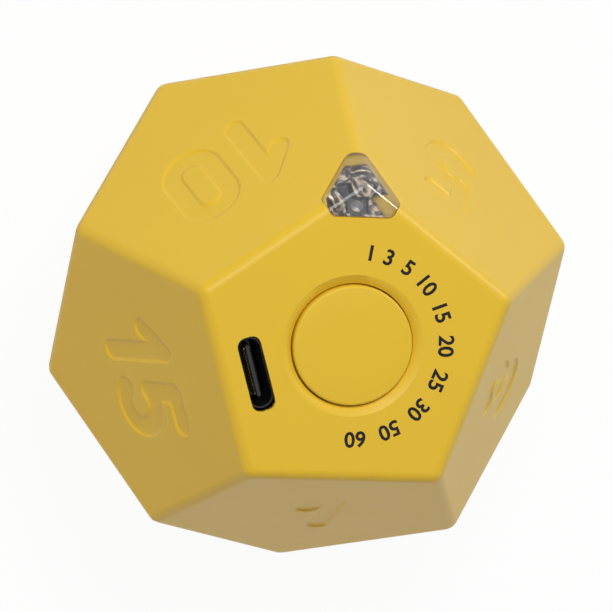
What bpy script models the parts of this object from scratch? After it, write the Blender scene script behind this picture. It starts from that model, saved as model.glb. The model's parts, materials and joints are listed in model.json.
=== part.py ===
"""Twelve-sided flip timer, as separate pieces at their real size.

The body is a regular dodecahedron in two shells that part along the zigzag ring of ten edges round its
waist. The upper face holds the push button and the charging socket, and one of its corners is a clear
signal window. Turning the body to another face starts another count.

Lengths are metres. The origin is the middle of the face that the timer rests on, +Z runs up through the
button, and +Y points towards the signal window.
"""

import math

import bmesh
import bpy
from mathutils import Matrix, Vector
from mathutils.geometry import interpolate_bezier

# Body
FACE_TO_FACE = 0.0520
WALL = 0.0020
EDGE_ROUNDING = 0.0017
INNER_ROUNDING = 0.0005
PARTING_GAP = 0.0003

# Clearances
SEAT_GAP = 0.00025
SCREW_CLEARANCE = 0.0003
CUT_OVERRUN = 0.0010

# Tongue on the lower shell that stands behind the wall of the upper one
TONGUE_THICKNESS = 0.0010
TONGUE_RISE = 0.0016
TONGUE_ROOT = 0.0024

# Button
BUTTON_DIAMETER = 0.0148
BUTTON_TOP_THICKNESS = 0.0016
BUTTON_EDGE_ROUNDING = 0.0003
BUTTON_SKIRT_WALL = 0.0012
BUTTON_FLANGE_WIDTH = 0.0011
BUTTON_FLANGE_THICKNESS = 0.0009
BUTTON_POST_DIAMETER = 0.0030
BORE_CLEARANCE = 0.0002
COUNTERSINK_DIAMETER = 0.0167
COUNTERSINK_DEPTH = 0.0006
COLLAR_WALL = 0.0014
COLLAR_DEPTH = 0.0034

# Charging socket, upright on the board behind a slot in the button face
SLOT_LENGTH = 0.0092
SLOT_WIDTH = 0.0029
SLOT_CORNER = 0.0011
SLOT_LIP = 0.0008
SLOT_OFFSET_SHARE = 0.750  # of the distance from the middle of a face to its edge
SLOT_AZIMUTH = 198
SOCKET_LENGTH = 0.00894
SOCKET_WIDTH = 0.00326
SOCKET_HEIGHT = 0.0093
SOCKET_WALL = 0.0003
SOCKET_FLOOR = 0.0012
TONGUE_PLATE_LENGTH = 0.0067
TONGUE_PLATE_THICKNESS = 0.0007
TONGUE_PLATE_RECESS = 0.0010
TONGUE_BASE_HEIGHT = 0.0024

# Signal window in the corner at +Y
WINDOW_LONG_SIDE = 0.00335  # from the window's axis to its three long sides
WINDOW_SHORT_SIDE = 0.0048  # and to the three short ones, across the edges
WINDOW_CORNER = 0.0008
WINDOW_CLEARANCE = 0.0002
WINDOW_LEDGE_DEPTH = 0.0048  # from the sharp corner of the body to the ledge that carries the window
WINDOW_LEDGE_WIDTH = 0.0010
WINDOW_LEDGE_THICKNESS = 0.0012
WINDOW_BOSS_WALL = 0.0014

# Light source behind the window
HOLDER_FLANGE_WIDTH = 0.0008
HOLDER_THICKNESS = 0.0018
HOLDER_FRONT_CLEARANCE = 0.0002
HOLDER_FRONT_SETBACK = 0.0003  # of its front from the ledge
HOLDER_POCKET_INSET = 0.0004
HOLDER_LIGHT_CLEARANCE = 0.0002
HOLDER_LEG_LENGTH = 0.0026
HOLDER_LEG_THICKNESS = 0.0012
HOLDER_PIN_DIAMETER = 0.0010
LIGHT_BOARD_THICKNESS = 0.0008
LIGHT_BOARD_CLEARANCE = 0.0002
LIGHT_WIDTH = 0.0024
LIGHT_LENGTH = 0.0020
LIGHT_HEIGHT = 0.0018
LIGHT_WELL_DIAMETER = 0.0015
LIGHT_WELL_DEPTH = 0.0005
LIGHT_LEAD_DIAMETER = 0.0006
LIGHT_LEAD_SPACING = 0.0026

# Main board and its screws
BOARD_THICKNESS = 0.0012
BOARD_CLEARANCE = 0.0015
BOARD_CORNER = 0.0040
BOSS_DIAMETER = 0.0046
BOSS_RADIUS_SHARE = 0.900  # of the distance from the middle of a face to its edge
BOSS_AZIMUTHS = (18, 162, 234, 306)
GUSSET_THICKNESS = 0.0009
GUSSET_LENGTH = 0.0040
SCREW_DIAMETER = 0.0017
SCREW_LENGTH = 0.0060
SCREW_HEAD_DIAMETER = 0.0036
SCREW_HEAD_HEIGHT = 0.0013
SCREW_RECESS_DIAMETER = 0.0016
SCREW_RECESS_DEPTH = 0.0007

# Switch under the button
SWITCH_WIDTH = 0.0060
SWITCH_BASE_HEIGHT = 0.0033
SWITCH_HEIGHT = 0.0060
SWITCH_WELL_DIAMETER = 0.0050
SWITCH_WELL_DEPTH = 0.0022
SWITCH_COVER_THICKNESS = 0.0003
SWITCH_CORNER = 0.0006
PLUNGER_DIAMETER = 0.0034
PLUNGER_FLANGE_DIAMETER = 0.0044
PLUNGER_FLANGE_THICKNESS = 0.0007

# Parts on the underside of the board, with their places from its middle
BUZZER_DIAMETER = 0.0120
BUZZER_HEIGHT = 0.0060
BUZZER_PORT_DIAMETER = 0.0020
BUZZER_PORT_DEPTH = 0.0015
BUZZER_EDGE = 0.0004
BUZZER_PLACE_SHARES = (0.06, -0.42)  # of the board's half-width, along X and Y
CONTROLLER_SIZE = (0.0070, 0.0070, 0.0014)
CONTROLLER_PLACE_SHARES = (-0.22, 0.30)
SENSOR_SIZE = (0.0030, 0.0030, 0.0010)
SENSOR_PLACE_SHARES = (0.24, 0.44)
CHARGER_SIZE = (0.0050, 0.0039, 0.0014)
CHARGER_PLACE_SHARES = (-0.46, -0.24)
CRYSTAL_SIZE = (0.0050, 0.0024, 0.0015)
CRYSTAL_PLACE_SHARES = (0.13, 0.15)
CHIP_CHAMFER = 0.0002
PLUG_SIZE = (0.0060, 0.0045, 0.0042)
PLUG_PLACE_SHARES = (0.50, 0.06)
PLUG_MOUTH_DEPTH = 0.0030
PLUG_WALL = 0.0008

# Battery on its ribs in the lower shell
BATTERY_SIZE = (0.0300, 0.0200, 0.0060)
BATTERY_ROUNDING = 0.0012
PAD_THICKNESS = 0.0010
PAD_INSET = 0.0012
CRADLE_HEIGHT = 0.0100  # of the rail tops above the resting face
RAIL_THICKNESS = 0.0012
RAIL_SPACING_SHARE = 0.60  # of the battery's width
STOP_HEIGHT = 0.0040  # of the end stops above the rail tops
STOP_THICKNESS = 0.0012
BATTERY_LEAD_DIAMETER = 0.0010
BATTERY_LEAD_SPACING = 0.0022
BATTERY_LEAD_SAG = 0.0060

# Smoothness
ROUNDING_STEPS = 4
INNER_STEPS = 2
CORNER_STEPS = 4
BUTTON_STEPS = 64
ROUND_STEPS = 24
SMALL_ROUND_STEPS = 16
LEAD_POINTS = 14

# A regular dodecahedron
GOLDEN = (1 + math.sqrt(5)) / 2
FACE_SIDES = 5
STEP_ANGLE = 360 / FACE_SIDES
INRADIUS_PER_EDGE = GOLDEN**2 / (2 * math.sqrt(3 - GOLDEN))
SIDE_SLOPE = 1 / 2  # how far a side face leans out for each unit of height
WALL_SLANT = math.hypot(1, SIDE_SLOPE)
WINDOW_AZIMUTH = 90
SIDE_AZIMUTH = WINDOW_AZIMUTH + STEP_ANGLE / 2
REACH_SHARE = 2  # how far a cutting region runs past the body

# Worked out from the sizes above
INRADIUS = FACE_TO_FACE / 2
EDGE = INRADIUS / INRADIUS_PER_EDGE
FACE_APOTHEM = EDGE / (2 * math.tan(math.radians(STEP_ANGLE / 2)))
FACE_CORNER = EDGE / (2 * math.sin(math.radians(STEP_ANGLE / 2)))
BORE_RADIUS = BUTTON_DIAMETER / 2 + BORE_CLEARANCE
FLANGE_TOP = FACE_TO_FACE - COLLAR_DEPTH - SEAT_GAP
FLANGE_BOTTOM = FLANGE_TOP - BUTTON_FLANGE_THICKNESS
SOCKET_TOP = FACE_TO_FACE - SLOT_LIP - SEAT_GAP
BOARD_TOP = SOCKET_TOP - SOCKET_HEIGHT - SEAT_GAP
BOARD_BOTTOM = BOARD_TOP - BOARD_THICKNESS
BOARD_APOTHEM = FACE_APOTHEM + (FACE_TO_FACE - BOARD_TOP) * SIDE_SLOPE - WALL * WALL_SLANT - BOARD_CLEARANCE
BOSS_RADIUS = BOSS_RADIUS_SHARE * FACE_APOTHEM
SLOT_RADIUS = SLOT_OFFSET_SHARE * FACE_APOTHEM
LEDGE_BOTTOM_DEPTH = WINDOW_LEDGE_DEPTH + WINDOW_LEDGE_THICKNESS
HOLDER_DEPTH = LEDGE_BOTTOM_DEPTH + SEAT_GAP
LIGHT_BOARD_DEPTH = HOLDER_DEPTH + HOLDER_THICKNESS - LIGHT_BOARD_THICKNESS
PAD_BOTTOM = CRADLE_HEIGHT + SEAT_GAP
BATTERY_BOTTOM = PAD_BOTTOM + PAD_THICKNESS + SEAT_GAP

# Colours as linear red, green and blue
BODY_YELLOW = (0.70, 0.44, 0.06)
CLEAR_PLASTIC = (0.80, 0.78, 0.70)
BLACK_PLASTIC = (0.02, 0.02, 0.02)
WHITE_PLASTIC = (0.75, 0.75, 0.72)
HOLDER_GREY = (0.08, 0.08, 0.085)
BOARD_GREEN = (0.03, 0.17, 0.07)
BRIGHT_STEEL = (0.62, 0.62, 0.60)
CELL_FOIL = (0.45, 0.46, 0.48)
FOAM_GREY = (0.08, 0.08, 0.09)
LEAD_RED = (0.45, 0.02, 0.02)


def polar(radius, degrees, height=0.0):
    """The point at a radius, an angle from +X and a height."""
    angle = math.radians(degrees)
    return Vector((radius * math.cos(angle), radius * math.sin(angle), height))


def corner_rings(inradius):
    """A dodecahedron's corners about the origin, as four rings of five from top to bottom."""
    edge = inradius / INRADIUS_PER_EDGE
    small = edge / (2 * math.sin(math.radians(STEP_ANGLE / 2)))
    large = small * GOLDEN
    level = inradius - math.sqrt(edge**2 - (large - small) ** 2)
    half_step = STEP_ANGLE / 2
    rings = ((small, inradius, 0), (large, level, 0), (large, -level, half_step), (small, -inradius, half_step))
    return [
        [polar(radius, WINDOW_AZIMUTH + turn + STEP_ANGLE * i, height) for i in range(FACE_SIDES)]
        for radius, height, turn in rings
    ]


def mesh_object(name, points, faces):
    """An object with these points and faces, its faces turned outwards."""
    mesh = bpy.data.meshes.new(name)
    mesh.from_pydata(points, [], faces)
    shape = bmesh.new()
    shape.from_mesh(mesh)
    bmesh.ops.recalc_face_normals(shape, faces=shape.faces)
    shape.to_mesh(mesh)
    shape.free()
    obj = bpy.data.objects.new(name, mesh)
    bpy.context.scene.collection.objects.link(obj)
    return obj


def dodecahedron(name, inradius, rounding, steps):
    """A dodecahedron about the middle of the body, with its edges rounded to a radius."""
    rings = corner_rings(inradius)
    top, upper, lower, bottom = ([ring * FACE_SIDES + i for i in range(FACE_SIDES)] for ring in range(4))
    faces = [top, bottom]
    for i in range(FACE_SIDES):
        after = (i + 1) % FACE_SIDES
        faces.append([top[i], upper[i], lower[i], upper[after], top[after]])
        faces.append([bottom[i - 1], lower[i - 1], upper[i], lower[i], bottom[i]])
    middle = Vector((0, 0, INRADIUS))
    obj = mesh_object(name, [point + middle for ring in rings for point in ring], faces)
    shape = bmesh.new()
    shape.from_mesh(obj.data)
    bmesh.ops.bevel(
        shape,
        geom=shape.edges[:],
        offset=rounding / GOLDEN,
        offset_type="OFFSET",
        affect="EDGES",
        segments=steps,
        profile=0.5,
        clamp_overlap=False,
    )
    shape.to_mesh(obj.data)
    shape.free()
    return obj


def upper_region(shift):
    """The space above the ten planes from the body's middle through its waist edges, moved up by shift."""
    rings = corner_rings(INRADIUS * REACH_SHARE)
    waist = [point for pair in zip(rings[1], rings[2]) for point in pair]
    middle = Vector((0, 0, INRADIUS + shift))
    top = Vector((0, 0, FACE_TO_FACE * REACH_SHARE))
    points = [middle, middle + top] + [middle + point for point in waist]
    faces = []
    for i in range(len(waist)):
        here, after = 2 + i, 2 + (i + 1) % len(waist)
        faces.append([0, here, after])
        faces.append([1, after, here])
    return mesh_object("upper_region", points, faces)


def rounded_outline(sides, radius, steps=CORNER_STEPS):
    """A convex outline of straight sides, each given as (degrees it faces, distance), with round corners."""
    outline = []
    for (angle, distance), (next_angle, next_distance) in zip(sides, sides[1:] + sides[:1]):
        first, second = polar(1, angle), polar(1, next_angle)
        inner, next_inner = distance - radius, next_distance - radius
        scale = first.x * second.y - first.y * second.x
        x = (inner * second.y - next_inner * first.y) / scale
        y = (next_inner * first.x - inner * second.x) / scale
        turn = (next_angle - angle) % 360
        for step in range(steps + 1):
            corner = polar(radius, angle + turn * step / steps)
            outline.append((x + corner.x, y + corner.y))
    return outline


def rectangle_sides(length, width):
    """The sides of a rectangle that is length along X and width along Y."""
    return [(0, length / 2), (90, width / 2), (180, length / 2), (270, width / 2)]


def window_outline(grown=0.0):
    """The window's outline about its axis, with its sides moved outwards by grown."""
    long_side, short_side = WINDOW_LONG_SIDE + grown, WINDOW_SHORT_SIDE + grown
    sides = [(angle, short_side if i % 2 else long_side) for i, angle in enumerate(range(-90, 270, 60))]
    return rounded_outline(sides, max(WINDOW_CORNER + grown, WINDOW_CORNER / 2))


def circle_outline(radius, steps=ROUND_STEPS):
    """A circle about the origin."""
    return [tuple(polar(radius, 360 * i / steps).xy) for i in range(steps)]


def stack(name, levels):
    """A solid through like outlines, each level given as (outline, height), closed at both ends."""
    count = len(levels[0][0])
    points = [(x, y, height) for outline, height in levels for x, y in outline]
    faces = [list(range(count)), list(range(len(points) - count, len(points)))]
    for level in range(len(levels) - 1):
        start = level * count
        for i in range(count):
            after = (i + 1) % count
            faces.append([start + i, start + after, start + count + after, start + count + i])
    return mesh_object(name, points, faces)


def prism(name, outline, bottom, top):
    """A solid with one outline from bottom to top."""
    return stack(name, [(outline, bottom), (outline, top)])


def chamfered(name, size, chamfer, bottom):
    """A block of length, width and height with its upper edges chamfered."""
    length, width, height = size
    wide = rounded_outline(rectangle_sides(length, width), chamfer, 1)
    narrow_sides = rectangle_sides(length - 2 * chamfer, width - 2 * chamfer)
    narrow = rounded_outline(narrow_sides, chamfer / 2, 1)
    return stack(name, [(wide, bottom), (wide, bottom + height - chamfer), (narrow, bottom + height)])


def turned(name, profile, steps=ROUND_STEPS):
    """A solid turned about Z from a profile of (radius, height) that starts and ends on the axis."""
    levels = [(circle_outline(radius, steps), height) for radius, height in profile[1:-1]]
    body = [(x, y, height) for outline, height in levels for x, y in outline]
    points = body + [(0, 0, profile[0][1]), (0, 0, profile[-1][1])]
    first, last = len(body), len(body) + 1
    faces = []
    for i in range(steps):
        after = (i + 1) % steps
        faces.append([first, after, i])
        faces.append([last, len(body) - steps + i, len(body) - steps + after])
        for level in range(len(levels) - 1):
            start = level * steps
            faces.append([start + i, start + after, start + steps + after, start + steps + i])
    return mesh_object(name, points, faces)


def lead(name, start, leave, arrive, end, diameter):
    """A wire on a smooth curve from start to end, which leaves and arrives along two handles."""
    curve = bpy.data.curves.new(name, "CURVE")
    curve.dimensions = "3D"
    curve.bevel_depth = diameter / 2
    curve.bevel_resolution = 2
    curve.use_fill_caps = True
    spline = curve.splines.new("POLY")
    route = interpolate_bezier(start, leave, arrive, end, LEAD_POINTS)
    spline.points.add(len(route) - 1)
    for point, place in zip(spline.points, route):
        point.co = (*place, 1)
    obj = bpy.data.objects.new(name, curve)
    bpy.context.scene.collection.objects.link(obj)
    return obj


def put(obj, matrix):
    """Place an object and return it."""
    obj.matrix_world = matrix
    return obj


def moved(x, y, z=0.0, degrees=0.0):
    """A matrix that turns about Z and then moves."""
    return Matrix.Translation((x, y, z)) @ Matrix.Rotation(math.radians(degrees), 4, "Z")


def combine(obj, tool, operation):
    """Change an object by a Boolean with a tool, and remove the tool."""
    modifier = obj.modifiers.new(operation.lower(), "BOOLEAN")
    modifier.operation = operation
    modifier.solver = "EXACT"
    modifier.object = tool
    bpy.context.view_layer.update()
    evaluated = obj.evaluated_get(bpy.context.evaluated_depsgraph_get())
    finished = bpy.data.meshes.new_from_object(evaluated)
    obj.modifiers.clear()
    worn_out = obj.data
    obj.data = finished
    bpy.data.meshes.remove(worn_out)
    tool_mesh = tool.data
    bpy.data.objects.remove(tool)
    bpy.data.meshes.remove(tool_mesh)
    return obj


def cut(obj, tool):
    """Take the tool's space out of an object."""
    return combine(obj, tool, "DIFFERENCE")


def join(obj, tool):
    """Fuse the tool with an object."""
    return combine(obj, tool, "UNION")


def keep(obj, tool):
    """Keep only what of an object lies inside the tool."""
    return combine(obj, tool, "INTERSECT")


def empty(name, matrix):
    """A frame that pieces are placed in."""
    frame = bpy.data.objects.new(name, None)
    frame.empty_display_size = WALL
    bpy.context.scene.collection.objects.link(frame)
    frame.matrix_world = matrix
    bpy.context.view_layer.update()
    return frame


def finish(obj, name, colour, roughness, metallic=0.0, frame=None):
    """Name an object, give it its material, shade it and hang it in its frame."""
    obj.name = name
    obj.data.name = name
    material = bpy.data.materials.new(name)
    material.use_nodes = True
    shader = material.node_tree.nodes["Principled BSDF"]
    shader.inputs["Base Color"].default_value = (*colour, 1)
    shader.inputs["Roughness"].default_value = roughness
    shader.inputs["Metallic"].default_value = metallic
    obj.data.materials.clear()
    obj.data.materials.append(material)
    if obj.type == "MESH":
        obj.data.shade_smooth()
        obj.data.set_sharp_from_angle(angle=math.radians(30))
    if frame:
        obj.parent = frame
    return obj


def window_matrix():
    """The window's own frame: its origin at the sharp corner, +Z out along the corner's axis."""
    corner = Vector((0, FACE_CORNER, FACE_TO_FACE))
    out = Vector((0, FACE_CORNER, INRADIUS)).normalized()
    across = Vector((1, 0, 0))
    away = out.cross(across)
    turn = Matrix((across, away, out)).transposed()
    return Matrix.Translation(corner) @ turn.to_4x4()


def core():
    """The body's shape to the middle of its wall, which trims what is fused to the inside."""
    return dodecahedron("core", INRADIUS - WALL / 2, INNER_ROUNDING, INNER_STEPS)


def hollow_body():
    """The whole body as one hollow wall."""
    body = dodecahedron("body", INRADIUS, EDGE_ROUNDING, ROUNDING_STEPS)
    return cut(body, dodecahedron("cavity", INRADIUS - WALL, INNER_ROUNDING, INNER_STEPS))


def boss_places():
    """The places of the screw bosses, as (azimuth, x, y)."""
    return [(azimuth, *polar(BOSS_RADIUS, azimuth).xy) for azimuth in BOSS_AZIMUTHS]


def screw_boss(azimuth, x, y):
    """A boss under the button face with a gusset that runs out to the wall."""
    bottom, top = BOARD_TOP + SEAT_GAP, FACE_TO_FACE
    boss = put(prism("boss", circle_outline(BOSS_DIAMETER / 2), bottom, top), moved(x, y))
    rib = rounded_outline(rectangle_sides(GUSSET_LENGTH, GUSSET_THICKNESS), GUSSET_THICKNESS / 4, 1)
    middle = polar(BOSS_RADIUS + GUSSET_LENGTH / 2, azimuth)
    gusset = prism("gusset", rib, (bottom + top) / 2, top + CUT_OVERRUN)
    return join(boss, put(gusset, moved(middle.x, middle.y, 0, azimuth)))


def upper_features():
    """What stands inside the upper shell: the button's collar, the window's boss and the screw bosses."""
    outline = circle_outline(BORE_RADIUS + COLLAR_WALL, BUTTON_STEPS)
    collar = prism("collar", outline, FACE_TO_FACE - COLLAR_DEPTH, FACE_TO_FACE)
    wide = window_outline(WINDOW_CLEARANCE + WINDOW_BOSS_WALL)
    window_boss = put(prism("window_boss", wide, -LEDGE_BOTTOM_DEPTH, 0), window_matrix())
    bosses = [screw_boss(azimuth, x, y) for azimuth, x, y in boss_places()]
    return [keep(feature, core()) for feature in (collar, window_boss, *bosses)]


def bore():
    """The button's bore with its countersink."""
    outer = COUNTERSINK_DIAMETER / 2
    slope = (outer - BORE_RADIUS) / COUNTERSINK_DEPTH
    profile = [
        (0, FACE_TO_FACE - COLLAR_DEPTH - CUT_OVERRUN),
        (BORE_RADIUS, FACE_TO_FACE - COLLAR_DEPTH - CUT_OVERRUN),
        (BORE_RADIUS, FACE_TO_FACE - COUNTERSINK_DEPTH),
        (outer + slope * CUT_OVERRUN, FACE_TO_FACE + CUT_OVERRUN),
        (0, FACE_TO_FACE + CUT_OVERRUN),
    ]
    return turned("bore", profile, BUTTON_STEPS)


def slot_matrix():
    """The charging slot's place on the button face, its length along X before it is turned."""
    place = polar(SLOT_RADIUS, SLOT_AZIMUTH)
    return moved(place.x, place.y, 0, SLOT_AZIMUTH + 90)


def slot_outline():
    """The opening that a charging plug passes through."""
    return rounded_outline(rectangle_sides(SLOT_LENGTH, SLOT_WIDTH), SLOT_CORNER)


def socket_outline(grown=0.0):
    """The outside of the charging socket, with its sides moved outwards by grown."""
    length, width = SOCKET_LENGTH + 2 * grown, SOCKET_WIDTH + 2 * grown
    return rounded_outline(rectangle_sides(length, width), width * 0.45, 2 * CORNER_STEPS)


def upper_shell():
    """The upper shell: six faces, the bore, the slot, the window's opening and the bosses."""
    shell = keep(hollow_body(), upper_region(PARTING_GAP / 2))
    for feature in upper_features():
        join(shell, feature)
    cut(shell, bore())
    above = FACE_TO_FACE + CUT_OVERRUN
    cut(shell, put(prism("slot", slot_outline(), BOARD_TOP, above), slot_matrix()))
    pocket = prism("pocket", socket_outline(SEAT_GAP), BOARD_TOP, FACE_TO_FACE - SLOT_LIP)
    cut(shell, put(pocket, slot_matrix()))
    seat = prism("seat", window_outline(WINDOW_CLEARANCE), -WINDOW_LEDGE_DEPTH, CUT_OVERRUN)
    cut(shell, put(seat, window_matrix()))
    bottom, top = -LEDGE_BOTTOM_DEPTH - CUT_OVERRUN, -WINDOW_LEDGE_DEPTH + CUT_OVERRUN
    cut(shell, put(prism("opening", window_outline(-WINDOW_LEDGE_WIDTH), bottom, top), window_matrix()))
    pilot = circle_outline(SCREW_DIAMETER / 2 + SCREW_CLEARANCE, SMALL_ROUND_STEPS)
    depth = BOARD_BOTTOM + SCREW_LENGTH + SCREW_CLEARANCE
    for azimuth, x, y in boss_places():
        cut(shell, put(prism("pilot", pilot, BOARD_BOTTOM, depth), moved(x, y)))
    return finish(shell, "upper_shell", BODY_YELLOW, 0.5)


def waist_ring(inradius, shift):
    """The zigzag round a sharp dodecahedron where the waist's planes, moved up by shift, leave it."""
    rings = corner_rings(inradius)
    normals = [
        polar(1 / SIDE_SLOPE, SIDE_AZIMUTH + STEP_ANGLE / 2 * i, 1 if i % 2 == 0 else -1).normalized()
        for i in range(2 * FACE_SIDES)
    ]
    start = Vector((0, 0, shift))
    ring = []
    for corner in (point for pair in zip(rings[1], rings[2]) for point in pair):
        reaches = [
            (inradius - normal.dot(start)) / normal.dot(corner) for normal in normals if normal.dot(corner) > 0
        ]
        ring.append(start + corner * min(reaches) + Vector((0, 0, INRADIUS)))
    return ring


def tongue():
    """The tongue round the waist, with the root that fuses it to the lower wall."""
    inside = INRADIUS - WALL - SEAT_GAP
    inner = inside - TONGUE_THICKNESS
    section = (
        (INRADIUS - WALL / 2, -TONGUE_ROOT),
        (INRADIUS - WALL / 2, -PARTING_GAP),
        (inside, -PARTING_GAP),
        (inside, 0),
        (inside, TONGUE_RISE),
        (inner, TONGUE_RISE),
        (inner, 0),
        (inner, -TONGUE_ROOT),
    )
    rings = [waist_ring(inradius, shift) for inradius, shift in section]
    count = len(rings[0])
    faces = []
    for level in range(len(rings)):
        start, following = level * count, (level + 1) % len(rings) * count
        for i in range(count):
            after = (i + 1) % count
            faces.append([start + i, start + after, following + after, following + i])
    return mesh_object("tongue", [point for ring in rings for point in ring], faces)


def cradle():
    """Two rails under the battery and a stop at each of its ends."""
    length, width, _ = BATTERY_SIZE
    rail = rectangle_sides(length, RAIL_THICKNESS)
    stop_place = length / 2 + SEAT_GAP + STOP_THICKNESS / 2
    stop = rectangle_sides(STOP_THICKNESS, width)
    offset = RAIL_SPACING_SHARE * width / 2
    ribs = None
    for side in (-1, 1):
        rail_rib = prism("rail", rounded_outline(rail, RAIL_THICKNESS / 4, 1), 0, CRADLE_HEIGHT)
        put(rail_rib, moved(0, side * offset))
        stop_rib = prism("stop", rounded_outline(stop, STOP_THICKNESS / 4, 1), 0, CRADLE_HEIGHT + STOP_HEIGHT)
        put(stop_rib, moved(side * stop_place, 0))
        join(rail_rib, stop_rib)
        ribs = join(ribs, rail_rib) if ribs else rail_rib
    return keep(ribs, core())


def lower_shell():
    """The lower shell: six faces, the tongue and the battery's cradle."""
    shell = cut(hollow_body(), upper_region(-PARTING_GAP / 2))
    join(shell, tongue())
    join(shell, cradle())
    return finish(shell, "lower_shell", BODY_YELLOW, 0.5)


def button_cap():
    """The push button, its origin on its axis at the face: a flat cap, a flange and a middle post."""
    radius = BUTTON_DIAMETER / 2
    inner = radius - BUTTON_SKIRT_WALL
    post = BUTTON_POST_DIAMETER / 2
    post_bottom = BOARD_TOP + SEAT_GAP + SWITCH_HEIGHT + SEAT_GAP - FACE_TO_FACE
    flange_top, flange_bottom = FLANGE_TOP - FACE_TO_FACE, FLANGE_BOTTOM - FACE_TO_FACE
    flange = radius + BUTTON_FLANGE_WIDTH
    rounding = BUTTON_EDGE_ROUNDING
    edge = [
        (radius - rounding + rounding * math.cos(angle), -rounding + rounding * math.sin(angle))
        for angle in (math.radians(90 * i / CORNER_STEPS) for i in range(CORNER_STEPS + 1))
    ]
    profile = [
        (0, post_bottom),
        (post, post_bottom),
        (post, -BUTTON_TOP_THICKNESS),
        (inner, -BUTTON_TOP_THICKNESS),
        (inner, flange_bottom),
        (flange, flange_bottom),
        (flange, flange_top),
        (radius, flange_top),
        *edge,
        (0, 0),
    ]
    cap = put(turned("cap", profile, BUTTON_STEPS), Matrix.Translation((0, 0, FACE_TO_FACE)))
    return finish(cap, "button_cap", BODY_YELLOW, 0.45)


def window_lens(frame):
    """The clear corner piece, cemented on its ledge: it carries on the faces and their rounded edges."""
    facets = dodecahedron("facets", INRADIUS, EDGE_ROUNDING, ROUNDING_STEPS)
    facets.data.transform(window_matrix().inverted())
    lens = keep(prism("lens", window_outline(), -WINDOW_LEDGE_DEPTH + SEAT_GAP, CUT_OVERRUN), facets)
    return finish(lens, "window_lens", CLEAR_PLASTIC, 0.1, frame=frame)


def leg_x():
    """How far the holder's legs stand from its middle."""
    return WINDOW_SHORT_SIDE + HOLDER_FLANGE_WIDTH / 2


def leg_y():
    """The Y place of the holder's legs, under the holder's middle plane."""
    out = Vector((0, FACE_CORNER, INRADIUS)).normalized()
    return FACE_CORNER - out.y * (HOLDER_DEPTH + HOLDER_THICKNESS)


def holder_leg(side, place):
    """A leg that stands on the main board, with a pin that goes through the board."""
    sides = rectangle_sides(HOLDER_LEG_THICKNESS, HOLDER_LEG_LENGTH)
    top = (place @ Vector((0, 0, -HOLDER_DEPTH - HOLDER_THICKNESS / 2))).z
    leg = prism("leg", rounded_outline(sides, HOLDER_LEG_THICKNESS / 4, 1), BOARD_TOP + SEAT_GAP, top)
    pin = circle_outline(HOLDER_PIN_DIAMETER / 2, SMALL_ROUND_STEPS)
    join(leg, prism("pin", pin, BOARD_BOTTOM, top))
    return put(leg, moved(side * leg_x(), leg_y()))


def light_holder(frame):
    """The dark holder behind the window's ledge.

    Its front fills the opening in the ledge, with a hole for the light, the light's board lies in a pocket in
    its back, and it stands on the main board with two legs.
    """
    place = window_matrix()
    bottom, top = -HOLDER_DEPTH - HOLDER_THICKNESS, -HOLDER_DEPTH
    front = -WINDOW_LEDGE_DEPTH - HOLDER_FRONT_SETBACK
    web = -LIGHT_BOARD_DEPTH + SEAT_GAP
    holder = prism("holder", window_outline(HOLDER_FLANGE_WIDTH), bottom, top)
    front_outline = window_outline(-WINDOW_LEDGE_WIDTH - HOLDER_FRONT_CLEARANCE)
    join(holder, prism("front", front_outline, (bottom + top) / 2, front))
    put(holder, place)
    for side in (-1, 1):
        join(holder, holder_leg(side, place))
    pocket = prism("pocket", window_outline(-HOLDER_POCKET_INSET), bottom - CUT_OVERRUN, web)
    cut(holder, put(pocket, place))
    clearance = 2 * HOLDER_LIGHT_CLEARANCE
    hole = rounded_outline(rectangle_sides(LIGHT_WIDTH + clearance, LIGHT_LENGTH + clearance), CHIP_CHAMFER, 2)
    cut(holder, put(prism("hole", hole, web - CUT_OVERRUN, front + CUT_OVERRUN), place))
    holder.data.transform(frame.matrix_world.inverted())
    return finish(holder, "light_holder", HOLDER_GREY, 0.3, frame=frame)


def light_board(frame):
    """The small board in the holder's pocket."""
    outline = window_outline(-HOLDER_POCKET_INSET - LIGHT_BOARD_CLEARANCE)
    bottom = -LIGHT_BOARD_DEPTH - LIGHT_BOARD_THICKNESS
    board = prism("board", outline, bottom, -LIGHT_BOARD_DEPTH)
    return finish(board, "light_board", BLACK_PLASTIC, 0.5, frame=frame)


def signal_light(frame):
    """The light on its board, with the round well that holds its phosphor."""
    bottom = -LIGHT_BOARD_DEPTH + SEAT_GAP
    light = chamfered("light", (LIGHT_WIDTH, LIGHT_LENGTH, LIGHT_HEIGHT), CHIP_CHAMFER, bottom)
    top = bottom + LIGHT_HEIGHT
    wide = circle_outline(LIGHT_WELL_DIAMETER / 2)
    narrow = circle_outline(LIGHT_WELL_DIAMETER / 2 - LIGHT_WELL_DEPTH / 2)
    slope = CUT_OVERRUN / 2
    over = circle_outline(LIGHT_WELL_DIAMETER / 2 + slope)
    cut(light, stack("well", [(narrow, top - LIGHT_WELL_DEPTH), (wide, top), (over, top + CUT_OVERRUN)]))
    return finish(light, "signal_light", WHITE_PLASTIC, 0.4, frame=frame)


def light_leads():
    """Two short wires from the back of the light's board to the main board."""
    place = window_matrix()
    radius = LIGHT_LEAD_DIAMETER / 2
    for side, name, colour in ((-1, "light_lead_red", LEAD_RED), (1, "light_lead_black", BLACK_PLASTIC)):
        x = side * LIGHT_LEAD_SPACING / 2
        back = -LIGHT_BOARD_DEPTH - LIGHT_BOARD_THICKNESS - SEAT_GAP
        start = place @ Vector((x, 0, back))
        leave = place @ Vector((x, 0, back - 4 * radius))
        end = Vector((x, leave.y - 4 * radius, BOARD_TOP + SEAT_GAP))
        arrive = end + Vector((0, 0, 4 * radius))
        finish(lead(name, start, leave, arrive, end, LIGHT_LEAD_DIAMETER), name, colour, 0.5)


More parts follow.
